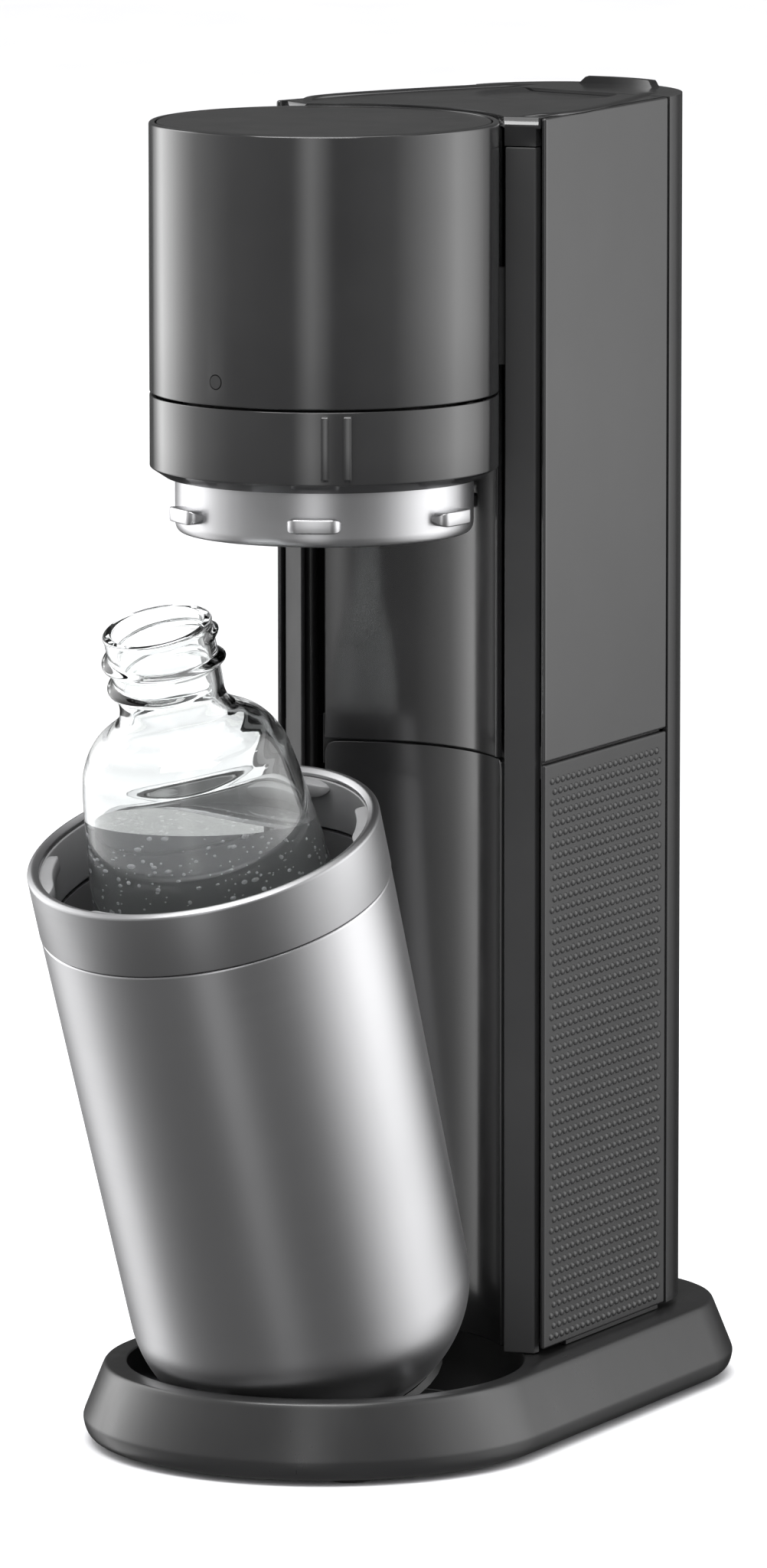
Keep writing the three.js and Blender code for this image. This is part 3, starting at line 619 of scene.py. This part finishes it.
def top_cover():
    """The cover over the column, cut round the head, with a shallow round dish and the strips' caps."""
    inset = PANEL_SKIN + 0.3 * MM
    strip = pillar_outline()
    cover_bottom = COLUMN_TOP - 3.5 * MM
    right = [strip[0], strip[1], side_point(0, inset), side_point(SIDE_LENGTH - SIDE_GAP, inset)]
    reach = (strip[0] - HEAD_AXIS.xy).length
    start = math.atan2(strip[0].y - HEAD_AXIS.y, strip[0].x)
    bay = []
    for i in range(1, 80):
        angle = math.pi - start + (2 * start - math.pi) * i / 80
        bay.append((reach * math.cos(angle), HEAD_AXIS.y + reach * math.sin(angle)))
    plate = prism([*right, *mirrored(right), *bay], cover_bottom, COLUMN_TOP)
    cap_bottom = low("top_cover").z
    caps = [prism(points, cap_bottom, cover_bottom + 1 * MM) for points in (strip, mirrored(strip))]
    run = (strip[1] - strip[0]).normalized()
    facing = Vector((run.y, -run.x))
    slope = [(-2.3, 0), (-1.95, -0.08), (-1.65, -0.35), (-0.15, -2.3), (-0.03, -2.6), (0, -3.0),
             (1, -3.0), (1, 1), (-2.3, 1)]
    cut_outline = [(out * MM, COLUMN_TOP + up * MM) for out, up in slope]
    brows = []
    for side in (-1, 1):
        ends = []
        for along in (-1 * MM, (strip[1] - strip[0]).length + 1 * MM):
            start = strip[0] + run * along
            ends.append([(side * (start + facing * out).x, (start + facing * out).y, height)
                         for out, height in cut_outline])
        brows.append(loft(ends))
    solid = combine(combine(plate, caps, "UNION"), brows, "DIFFERENCE")
    dish_r, dish_deep, dish_side = 24.5 * MM, 1.1 * MM, 3.2 * MM
    bowl = [(0, COLUMN_TOP - dish_deep)]
    for i in range(11):
        turn = math.pi * i / 10
        bowl.append((dish_r - dish_side * (1 - i / 10), COLUMN_TOP - dish_deep * (1 + math.cos(turn)) / 2))
    bowl += [(dish_r, COLUMN_TOP + 2 * MM), (0, COLUMN_TOP + 2 * MM)]
    spot = Matrix.Translation((0, HEAD_AXIS.y + 121 * MM, 0))
    return combine(solid, [turned(lathe(bowl), spot)], "DIFFERENCE")


cover = finish_mesh("column_cover", top_cover(), "stand", gloss_shell, ["top_cover"])
for face in cover.data.polygons:
    if face.normal.z > 0.9999 and abs(face.center.z - COLUMN_TOP) < 0.01 * MM:
        for corner in face.loop_indices:
            cover.data.edges[cover.data.loops[corner].edge_index].use_edge_sharp = True
soften(cover, 1.1 * MM, 4, 50)


def crest():
    """A low rounded ridge on the cover, curving in from each front corner to the finger tab."""
    half = [(43.5, 47.5), (49.6, 55.5), (50.9, 66), (47.6, 83.1), (39.2, 109.6), (30.9, 131.7), (24.6, 149.8)]
    line = spline([(x * MM, HEAD_AXIS.y + y * MM) for x, y in half], 8)
    bm = bmesh.new()
    for side in (-1, 1):
        rows = []
        for i, spot in enumerate(line):
            ahead = (line[min(i + 1, len(line) - 1)] - line[max(i - 1, 0)]).normalized()
            across = Vector((-ahead.y, ahead.x))
            fade = min(1.0, i / 6, (len(line) - 1 - i) / 6)
            row = []
            for k in range(9):
                turn = math.pi * k / 8
                place = spot + across * 1.7 * MM * math.cos(turn)
                height = COLUMN_TOP - 0.05 * MM + (0.05 + 0.9 * fade) * MM * math.sin(turn)
                row.append(bm.verts.new((side * place.x, place.y, height)))
            rows.append(row)
        for near, far in zip(rows, rows[1:]):
            for k in range(9):
                n = (k + 1) % 9
                bm.faces.new((near[k], near[n], far[n], far[k]))
        bm.faces.new(rows[0])
        bm.faces.new(list(reversed(rows[-1])))
    return bm


finish_mesh("cover_crest", crest(), "stand", gloss_shell, sharp=60)


def seam_shade_strip():
    """A dark strip behind the joint of the two bay walls: painted shade, standing in for the shade inside the gap.
    """
    reach = BAY_LOWER_R + BAY_SKIN + 0.4 * MM
    outer, inner = [], []
    for i in range(49):
        turn = (-BAY_HALF + 2 * BAY_HALF * i / 48) * 1.015
        outer.append(((reach + 0.8 * MM) * math.sin(turn), HEAD_AXIS.y + (reach + 0.8 * MM) * math.cos(turn)))
        inner.append((reach * math.sin(turn), HEAD_AXIS.y + reach * math.cos(turn)))
    return prism(outer + list(reversed(inner)), SEAM_LOW - 8 * MM, SEAM_HIGH + 8 * MM)


# Painted shade: this dark strip stands in for the shade in the joint of the bay walls.
finish_mesh("bay_seam_shade_strip", seam_shade_strip(), "stand", dark_structure)


def rear_arc(radius, start, end, steps):
    spots = []
    for i in range(steps + 1):
        angle = math.radians(start + (end - start) * i / steps)
        spots.append((radius * math.cos(angle), REAR_Y + radius * math.sin(angle)))
    return spots


def rear_shell():
    """The rear cover: half a cylinder with a lid and a finger tab."""
    turn = math.degrees(SIDE_TURN)
    bottom, top = low("rear_cover").z, COLUMN_TOP
    outer = rear_arc(REAR_R, turn, 180 - turn, 96)
    wall = prism(outer + rear_arc(REAR_R - 2 * MM, 180 - turn, turn, 96), bottom, top)
    lid = prism(outer, top - 3.5 * MM, top)
    tab_half = 27                # degrees each side of the back
    first, last = 90 - tab_half, 90 + tab_half
    tab_outline = rear_arc(38 * MM, first, last, 60) + rear_arc(35 * MM, last, first, 60)
    tab = prism(tab_outline, top - 1 * MM, high("rear_cover").z)
    sunk = 0.6 * MM              # how far the tab's ends run down into the lid
    for corner in tab.verts:
        turn = math.degrees(math.atan2(corner.co.y - REAR_Y, corner.co.x))
        slope = min(1.0, (tab_half - abs(turn - 90)) / 5)
        if corner.co.z > top:
            corner.co.z = top - sunk + (corner.co.z - top + sunk) * slope
    return combine(wall, [lid, tab], "UNION")


rear = finish_mesh("rear_shell", rear_shell(), "back", gloss_shell, ["rear_cover"])
soften(rear, 0.6 * MM, 3, 45)


# ---- Head -------------------------------------------------------------------------------------

GUIDE_TURN = math.radians(41.6)


def head_shell():
    wall = 2 * MM
    inner = HEAD_R - wall
    outline = fillet([(HEAD_R, HEAD_BOTTOM, 0.5 * MM), (HEAD_R, HEAD_TOP, 0.8 * MM),
                      (inner, HEAD_TOP, 0.3 * MM), (inner, HEAD_BOTTOM, 0.3 * MM)])
    shell = turned(lathe(outline), AT_HEAD)
    slots = []
    for side in (-1, 1):
        slot = box_mesh((-2.8 * MM, 45 * MM, 340 * MM), (2.8 * MM, 65 * MM, 391 * MM))
        slots.append(turned(slot, AT_HEAD @ Matrix.Rotation(-side * GUIDE_TURN, 4, "Z")))
    hole = lathe([(0, 50 * MM), (2.5 * MM, 50 * MM), (2.5 * MM, 60 * MM), (0, 60 * MM)], 48)
    spot = Matrix.Translation((0, 0, middle("alignment_mark").z)) @ Matrix.Rotation(math.pi / 2, 4, "X")
    slots.append(turned(hole, AT_HEAD @ spot))
    return combine(shell, slots, "DIFFERENCE")


finish_mesh("head_shell", head_shell(), "head", gloss_shell, ["head_cover"])


def head_button():
    """The whole top of the head is the button: a disc with a skirt and a boss that meets the trigger."""
    radius = high("press_button").x
    skirt = 428 * MM
    boss = low("press_button").z
    under = HEAD_TOP - 3 * MM
    outline = fillet([(0, HEAD_TOP - 0.15 * MM, 0), (radius - 6 * MM, HEAD_TOP - 0.1 * MM, 3 * MM),
                      (radius, HEAD_TOP, 0.6 * MM), (radius, skirt, 0.3 * MM),
                      (radius - 2 * MM, skirt, 0.3 * MM), (radius - 2 * MM, under, 0.5 * MM),
                      (2.2 * MM, under, 0.3 * MM), (2.2 * MM, boss, 0.4 * MM), (0, boss, 0)])
    return lathe(outline)


finish_mesh("head_button", head_button(), "button", gloss_shell, ["press_button"], AT_HEAD)

spring_mesh = copied("button_spring")
spring = finish_mesh("return_spring", spring_mesh, "head", plain_steel, ["button_spring"])
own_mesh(spring)

hose = finish_mesh("flexible_hose", copied("gas_hose"), None, rubber, ["gas_hose"])
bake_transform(hose)

RING_R = 49.1 * MM
RING_LUG_R = high("bayonet_ring").x


def collar():
    """The turning collar: a thin skirt and an inner lip round the steel ring; its two upright grip ribs come from
    grip_ribs.
    """
    top, bottom, lip = COLLAR_TOP, COLLAR_BOTTOM + 3.2 * MM, COLLAR_BOTTOM
    inner = RING_R + 0.3 * MM
    outline = fillet([(HEAD_R, bottom, 0.7 * MM), (HEAD_R, top, 0.4 * MM), (HEAD_R - 2.2 * MM, top, 0.2 * MM),
                      (HEAD_R - 2.2 * MM, bottom + 2 * MM, 0.3 * MM), (inner, bottom + 1 * MM, 0.2 * MM),
                      (inner, lip, 0.2 * MM), (52.5 * MM, lip, 0.5 * MM)])
    return lathe(outline)


def grip_ribs():
    """Two upright grip teeth on the collar, with parallel slanted faces."""
    face = math.radians(31.8)
    out, along = Vector((math.sin(face), -math.cos(face))), Vector((math.cos(face), math.sin(face)))
    ribs = []
    for turn, wide in ((37.9, 2.3), (45.2, 2.5)):
        foot = Vector((math.sin(math.radians(turn)), -math.cos(math.radians(turn)))) * (HEAD_R + 0.75 * MM)
        half = wide / 2 * MM
        corners = [foot - along * half, foot + along * half,
                   foot + along * (half + 0.3 * MM) - out * 2.2 * MM,
                   foot - along * (half + 0.3 * MM) - out * 2.2 * MM]
        outline = fillet([(p.x, p.y, 0.3 * MM if i < 2 else 0) for i, p in enumerate(corners)], 4)
        low_z, high_z = COLLAR_BOTTOM + 4.4 * MM, COLLAR_TOP - 1.2 * MM
        rings = []
        for height, inset in ((low_z, 0.75), (low_z + 0.5 * MM, 0.15), (low_z + 1.1 * MM, 0),
                              (high_z - 1.1 * MM, 0), (high_z - 0.5 * MM, 0.15), (high_z, 0.75)):
            rings.append([(x - out.x * inset * MM, y - out.y * inset * MM, height) for x, y in outline])
        ribs.append(loft(rings))
    return gathered(ribs)


finish_mesh("turning_collar", collar(), "collar", gloss_shell, ["locking_collar"], AT_HEAD)
finish_mesh("collar_grips", grip_ribs(), "collar", gloss_shell, place=AT_HEAD, sharp=40)


def arc_lug(root_r, tip_r, half_degrees, bottom, top, turn):
    """A lug along an arc with rounded ends; turn is measured from the front towards +X."""
    steps, round_part = 32, 0.2
    middle_z, half_z = (bottom + top) / 2, (top - bottom) / 2
    rings = []
    for i in range(steps + 1):
        t = i / steps
        beyond = max(0.0, 1 - min(t, 1 - t) / round_part)
        size = max(0.12, math.sqrt(1 - beyond * beyond))
        angle = math.radians(turn - half_degrees + 2 * half_degrees * t)
        tip = root_r + (tip_r - root_r) * size
        edge = 0.55 * MM * size * (1 if tip_r > root_r else -1)
        cut = abs(edge)
        section = [(root_r, -half_z), (tip - edge, -half_z), (tip - 0.3 * edge, -half_z + 0.3 * cut),
                   (tip, -half_z + cut), (tip, half_z - cut), (tip - 0.3 * edge, half_z - 0.3 * cut),
                   (tip - edge, half_z), (root_r, half_z)]
        rings.append([(r * math.sin(angle), -r * math.cos(angle), middle_z + z * size) for r, z in section])
    return loft(rings)


def steel_ring():
    top, bottom = high("bayonet_ring").z, low("bayonet_ring").z
    inner = 46.8 * MM
    outline = []
    for i in range(11):
        angle = math.pi / 2 * i / 10
        reach = RING_R - 1.9 * MM * (1 - math.sin(angle))
        outline.append(Vector((reach, bottom + 3.4 * MM * (1 - math.cos(angle)))))
    outline += [Vector((RING_R, top)), Vector((inner, top)), Vector((inner, bottom + 0.4 * MM)),
                Vector((inner + 0.15 * MM, bottom))]
    return lathe(outline)


def ring_lugs():
    lug_low, lug_high = 309.6 * MM, 314.4 * MM
    root_r = RING_R - 0.6 * MM
    return gathered([arc_lug(root_r, RING_LUG_R, 10.6, lug_low, lug_high, 33.9 + 60 * i) for i in range(6)])


finish_mesh("steel_ring", steel_ring(), "collar", brushed_steel, ["bayonet_ring"], AT_HEAD,
            sharp=50)
finish_mesh("ring_lugs", ring_lugs(), "collar", brushed_steel, place=AT_HEAD, sharp=50)


# ---- Container, upright above the trunnion axis ------------------------------------------------

RIM_R = 58.6 * MM
RIM_HEIGHT = 211.05 * MM
TAPER = 0.0106
DEPTH = 204.5 * MM
CORNER_R = 40 * MM
BAND = 21.6 * MM
FLOOR = RIM_HEIGHT - DEPTH
CORNER_HEIGHT = FLOOR + CORNER_R


def wall_r(height):
    return RIM_R - TAPER * (RIM_HEIGHT - height)


def cup_line(offset, top):
    centre = wall_r(CORNER_HEIGHT) - CORNER_R
    reach = CORNER_R + offset
    bend = []
    for i in range(29):
        angle = math.radians(-90 + 90 * i / 28)
        bend.append((centre + reach * math.cos(angle), CORNER_HEIGHT + reach * math.sin(angle)))
    return bend + [(wall_r(top) + offset, top)]


def cup(offset, wall, top, roll=0.1 * MM):
    outer = cup_line(offset, top - roll)
    edge = wall_r(top) + offset
    outer += [(edge - roll * (1 - math.cos(math.pi * i / 16)), top - roll * (1 - math.sin(math.pi * i / 16)))
              for i in range(1, 9)]
    inner = cup_line(offset - wall, top)
    floor = outer[0][1]
    return lathe([(0, floor), *outer, *reversed(inner), (0, floor + wall)])


band_bottom = RIM_HEIGHT - BAND
finish_mesh("cup_shell", cup(0, 1.4 * MM, band_bottom - 0.3 * MM, 0.9 * MM), "container",
            brushed_steel, ["container_shell"], TILTED)


def rim_band():
    lower = wall_r(band_bottom) + 0.2 * MM
    top = RIM_HEIGHT
    outline = fillet([(lower, band_bottom, 0.35 * MM), (RIM_R, top - 1.0 * MM, 1.2 * MM),
                      (RIM_R - 2 * MM, top, 1.2 * MM), (RIM_R - 4 * MM, top - 1.2 * MM, 0.5 * MM),
                      (RIM_R - 4 * MM, top - 2.4 * MM, 0.2 * MM),
                      (RIM_R - 2.4 * MM, top - 2.4 * MM, 0.1 * MM),
                      (RIM_R - 2.4 * MM, band_bottom, 0.2 * MM)], 6)
    return lathe(outline)


finish_mesh("cup_rim", rim_band(), "container", rim_steel, ["container_rim_band"], TILTED)


def socket():
    top = RIM_HEIGHT - 2.7 * MM
    outline = fillet([(55.9 * MM, band_bottom + 1 * MM, 0.2 * MM), (55.9 * MM, top, 0.3 * MM),
                      (54.2 * MM, top, 0.5 * MM), (54.2 * MM, band_bottom + 1 * MM, 0.2 * MM)])
    lug_low, lug_high = top - 5.3 * MM, top - 0.3 * MM
    lugs = [arc_lug(54.8 * MM, 50.4 * MM, 17, lug_low, lug_high, 63.9 + 60 * i) for i in range(6)]
    return gathered([lathe(outline), *lugs])


finish_mesh("cup_socket", socket(), "container", grey_plastic, ["bayonet_socket"], TILTED,
            sharp=50)
finish_mesh("cup_liner", cup(-2.4 * MM, 1.6 * MM, RIM_HEIGHT - 22.1 * MM), "container",
            liner_grey, ["container_liner"], TILTED)


# ---- Carafe ------------------------------------------------------------------------------------

FOOT = 19.9 * MM
MOUTH = RIM_HEIGHT + 75.8 * MM
THREAD_PITCH = 9 * MM
THREAD_RISE = 2.3 * MM
WATER_LEVEL = 218 * MM          # along the carafe's axis, where the level surface crosses it


def outer_glass():
    r = RIM_HEIGHT
    wall = [(41, -120), (41, -60), (40.3, -25), (38.1, 0), (34.9, 24), (32.6, 32), (28.6, 38), (23, 42),
            (18.9, 45.5), (17.4, 50), (17.6, 55), (17.8, 62), (17.8, 70)]
    return spline([(x * MM, r + z * MM) for x, z in wall], 6)


def inner_glass():
    r = RIM_HEIGHT
    wall = [(14.9, 70), (14.8, 55), (14.6, 48), (17.4, 42.6), (22.5, 38.6), (27.6, 34.4), (30.3, 29.4),
            (32.2, 23), (35.4, 0), (37.7, -25), (38.4, -60), (38.4, -120)]
    return spline([(x * MM, r + z * MM) for x, z in wall], 6)


def thread(radius, height, angle):
    """Two turns of a raised screw thread near the mouth, fading in and out at its ends."""
    if radius < 16.5 * MM or height < MOUTH - 21 * MM or height > MOUTH - 2 * MM:
        return 0.0
    best = 0.0
    for turn in (0, 1):
        travel = turn + angle / (2 * math.pi)
        centre = MOUTH - 4.2 * MM - THREAD_PITCH * travel * 0.98
        gap = abs(height - centre) / (2.1 * MM)
        fade = min(1.0, travel * 6, (2 - travel) * 6)
        if gap < 1:
            best = max(best, fade * THREAD_RISE * (1 - gap * gap) ** 1.5)
    return best


def carafe():
    outer = [tuple(p) for p in outer_glass()]
    neck = [(17.8 * MM, MOUTH - 5.8 * MM + 0.5 * MM * i) for i in range(1, 8)]
    lip = fillet([(17.8 * MM, MOUTH - 2 * MM, 0), (18.3 * MM, MOUTH, 0.9 * MM), (14.9 * MM, MOUTH, 0.9 * MM),
                  (14.9 * MM, MOUTH - 2.5 * MM, 0)], 6)
    dense = []
    for a, b in zip(outer, outer[1:]):
        pieces = 6 if a[1] > MOUTH - 24 * MM else 1
        for k in range(pieces):
            dense.append((a[0] + (b[0] - a[0]) * k / pieces, a[1] + (b[1] - a[1]) * k / pieces))
    corner = []
    for i in range(9):
        angle = math.radians(-90 + 90 * i / 8)
        corner.append((31 * MM + 10 * MM * math.cos(angle), FOOT + 10 * MM + 10 * MM * math.sin(angle)))
    within = [tuple(p) for p in inner_glass()]
    bottom = [(38.4 * MM, FOOT + 13 * MM), (36.6 * MM, FOOT + 7.8 * MM), (31 * MM, FOOT + 4.6 * MM),
              (0, FOOT + 5.6 * MM)]
    profile = [(0, FOOT + 1.2 * MM), (24 * MM, FOOT + 0.8 * MM), *corner, *dense, *neck,
               *[tuple(p) for p in lip], *within, *bottom]
    return lathe(profile, 144, thread)


finish_mesh("carafe_glass", carafe(), "carafe", clear_glass, ["glass_carafe"], TILTED,
            sharp=60)


def water():
    """Still water to a level surface, just inside the glass."""
    skin = 0.06 * MM
    wall = [(p[0] + skin, p[1]) for p in reversed(inner_glass())]
    wall = [(r, z) for r, z in wall if z < RIM_HEIGHT + 44 * MM]
    bottom = [(0, FOOT + 5.5 * MM), (31 * MM, FOOT + 4.5 * MM), (36.6 * MM, FOOT + 7.7 * MM),
              (38.4 * MM, FOOT + 13 * MM)]
    bm = lathe([*bottom, *wall, (0, wall[-1][1])], 144)
    bmesh.ops.remove_doubles(bm, verts=bm.verts, dist=1e-7)
    up = TILTED.to_3x3().inverted() @ Vector((0, 0, 1))
    cut = bmesh.ops.bisect_plane(bm, geom=[*bm.verts, *bm.edges, *bm.faces], plane_co=(0, 0, WATER_LEVEL),
                                 plane_no=up, clear_outer=True)
    rim = [e for e in cut["geom_cut"] if isinstance(e, bmesh.types.BMEdge)]
    bmesh.ops.edgeloop_fill(bm, edges=rim)
    return bm


finish_mesh("carafe_water", water(), "carafe", water_look, place=TILTED, sharp=30)


def bubbles():
    """Rising bubbles, more of them near the surface, in a fixed pattern."""
    chance = random.Random(11)
    up = TILTED.to_3x3().inverted() @ Vector((0, 0, 1))
    bm = bmesh.new()
    placed = 0
    while placed < 330:
        turn = chance.uniform(0, 2 * math.pi)
        reach = 36.6 * MM * chance.random() ** 0.35
        depth = 46 * MM * chance.random() ** 1.4 + 1.5 * MM
        spot = Vector((reach * math.cos(turn), reach * math.sin(turn), WATER_LEVEL - depth))
        if (Vector((0, 0, WATER_LEVEL)) - spot).dot(up) < 1.6 * MM:
            continue
        size = (0.22 + 0.62 * chance.random() ** 2) * MM
        bmesh.ops.create_icosphere(bm, subdivisions=2, radius=size, matrix=Matrix.Translation(spot))
        placed += 1
    return bm


finish_mesh("carafe_bubbles", bubbles(), "carafe", bubble_look, place=TILTED, sharp=180)


# ---- Stage, light and camera --------------------------------------------------------------------

def floor_material():
    n = Nodes("floor")
    return n.set(Base_Color=n.shades(n.noise(3, 2), grey(0.86), grey(0.88)),
                 Roughness=n.spread(n.noise(12, 3), 0.7, 0.8))


def floor():
    bm = bmesh.new()
    bmesh.ops.create_grid(bm, x_segments=8, y_segments=8, size=30)
    mesh = bpy.data.meshes.new("floor")
    bm.to_mesh(mesh)
    bm.free()
    mesh.materials.append(floor_material())
    obj = bpy.data.objects.new("floor", mesh)
    bpy.context.scene.collection.objects.link(obj)
    obj.visible_glossy = False


floor()

camera = bpy.data.objects.new("camera", bpy.data.cameras.new("camera"))
bpy.context.scene.collection.objects.link(camera)
CAMERA_PLACE = (2.2018, -2.8651, 0.7627)
CAMERA_FACING = Vector((-0.60040, 0.78557, -0.14971))
camera.location = CAMERA_PLACE
camera.rotation_euler = CAMERA_FACING.to_track_quat("-Z", "Y").to_euler()
camera.data.lens = 252.3
camera.data.sensor_width = 36
camera.data.shift_x = -0.0229
bpy.context.scene.camera = camera

TO_CAMERA = Vector((camera.location.x, camera.location.y, 0)).normalized()
TO_RIGHT = Vector((-TO_CAMERA.y, TO_CAMERA.x, 0))


# Brightness of the light wall at angles from the camera, in degrees towards image right: a broad light on
# the left, a narrow one beside the camera and a broad one on the right. The stops weren't chosen by eye:
# they are a longer table that a fitting program made, cut and rounded.
LIGHT_WALL = ((-180, 0.1), (-152, 0.12), (-142, 1.3), (-132, 3.9), (-116, 3.6), (-91, 1.4), (-62, 0.5),
              (-20, 0.25), (-9, 2.3), (6, 0.15), (45, 0.5), (96, 3.6), (130, 0.6), (146, 0.1))
BRIGHTEST = 4.0
STUDIO_R = 1.8
STUDIO_HEIGHT = 3.2


def light_wall():
    """A round studio wall of soft light, seen only in reflections and dimmer near the floor."""
    bm = bmesh.new()
    bmesh.ops.create_cone(bm, cap_ends=False, segments=96, radius1=STUDIO_R, radius2=STUDIO_R,
                          depth=STUDIO_HEIGHT)
    bmesh.ops.translate(bm, vec=(0, 0, 0.4), verts=bm.verts)
    mesh = bpy.data.meshes.new("light_wall")
    bm.to_mesh(mesh)
    bm.free()
    wall = bpy.data.objects.new("light_wall", mesh)
    bpy.context.scene.collection.objects.link(wall)
    wall.rotation_euler.z = math.atan2(TO_CAMERA.y, TO_CAMERA.x)
    n = Nodes("light_wall")
    spot = n.node("ShaderNodeSeparateXYZ", Vector=n.place)
    angle = n.tree.nodes.new("ShaderNodeMath")
    angle.operation = "ARCTAN2"
    n.tree.links.new(spot.outputs["Y"], angle.inputs[0])
    n.tree.links.new(spot.outputs["X"], angle.inputs[1])
    ramp = n.tree.nodes.new("ShaderNodeValToRGB")
    n.tree.links.new(n.spread(angle.outputs[0], 0, 1, -math.pi, math.pi), ramp.inputs["Fac"])
    stops = ramp.color_ramp.elements
    while len(stops) < len(LIGHT_WALL):
        stops.new(0.5)
    for stop, (turn, bright) in zip(stops, LIGHT_WALL):
        stop.position = (turn + 180) / 360
        stop.color = (*(bright / BRIGHTEST,) * 3, 1)
    power = n.spread(spot.outputs["Z"], 0.42 * BRIGHTEST, BRIGHTEST, -0.30, 0.12)
    n.set(Base_Color=(0, 0, 0, 1), Emission_Color=ramp.outputs["Color"], Emission_Strength=power)
    n.shader.inputs["Specular IOR Level"].default_value = 0
    mesh.materials.append(n.material)
    wall.visible_camera = False
    wall.visible_diffuse = False
    wall.visible_transmission = False
    wall.visible_volume_scatter = False
    wall.visible_shadow = False


light_wall()

brow_data = bpy.data.lights.new("brow_box", "AREA")
brow_data.shape = "RECTANGLE"
brow_data.size = 1.5
brow_data.size_y = 0.5
brow_data.energy = 28
brow_light = bpy.data.objects.new("brow_box", brow_data)
brow_out = TO_CAMERA * 0.42 - TO_RIGHT * 0.12 + Vector((0, 0, 0.92))
brow_light.location = brow_out * 1.9
brow_light.rotation_euler = brow_out.to_track_quat("Z", "Y").to_euler()
bpy.context.scene.collection.objects.link(brow_light)

top_data = bpy.data.lights.new("top_box", "AREA")
top_data.size = 1.6
top_data.energy = 19
top_light = bpy.data.objects.new("top_box", top_data)
top_light.location = (0, 0, 2.2)
bpy.context.scene.collection.objects.link(top_light)


def studio_world():
    """Even white surroundings for sight and for soft light, dimmer where glossy surfaces mirror them."""
    world = bpy.data.worlds.new("studio")
    world.use_nodes = True
    tree = world.node_tree
    tree.nodes.clear()
    path = tree.nodes.new("ShaderNodeLightPath")
    white = tree.nodes.new("ShaderNodeBackground")
    white.inputs["Color"].default_value = (1, 1, 1, 1)
    white.inputs["Strength"].default_value = 1.26
    dim = tree.nodes.new("ShaderNodeBackground")
    dim.inputs["Color"].default_value = (1, 1, 1, 1)
    dim.inputs["Strength"].default_value = 0.15
    mix = tree.nodes.new("ShaderNodeMixShader")
    out = tree.nodes.new("ShaderNodeOutputWorld")
    through = tree.nodes.new("ShaderNodeMath")
    through.operation = "LESS_THAN"
    through.inputs[1].default_value = 0.5
    tree.links.new(path.outputs["Transmission Depth"], through.inputs[0])
    outside = tree.nodes.new("ShaderNodeMath")
    outside.operation = "MULTIPLY"
    tree.links.new(path.outputs["Is Glossy Ray"], outside.inputs[0])
    tree.links.new(through.outputs[0], outside.inputs[1])
    tree.links.new(outside.outputs[0], mix.inputs["Fac"])
    tree.links.new(white.outputs[0], mix.inputs[1])
    tree.links.new(dim.outputs[0], mix.inputs[2])
    tree.links.new(mix.outputs[0], out.inputs["Surface"])
    bpy.context.scene.world = world


studio_world()
bpy.context.scene.view_settings.view_transform = "Standard"
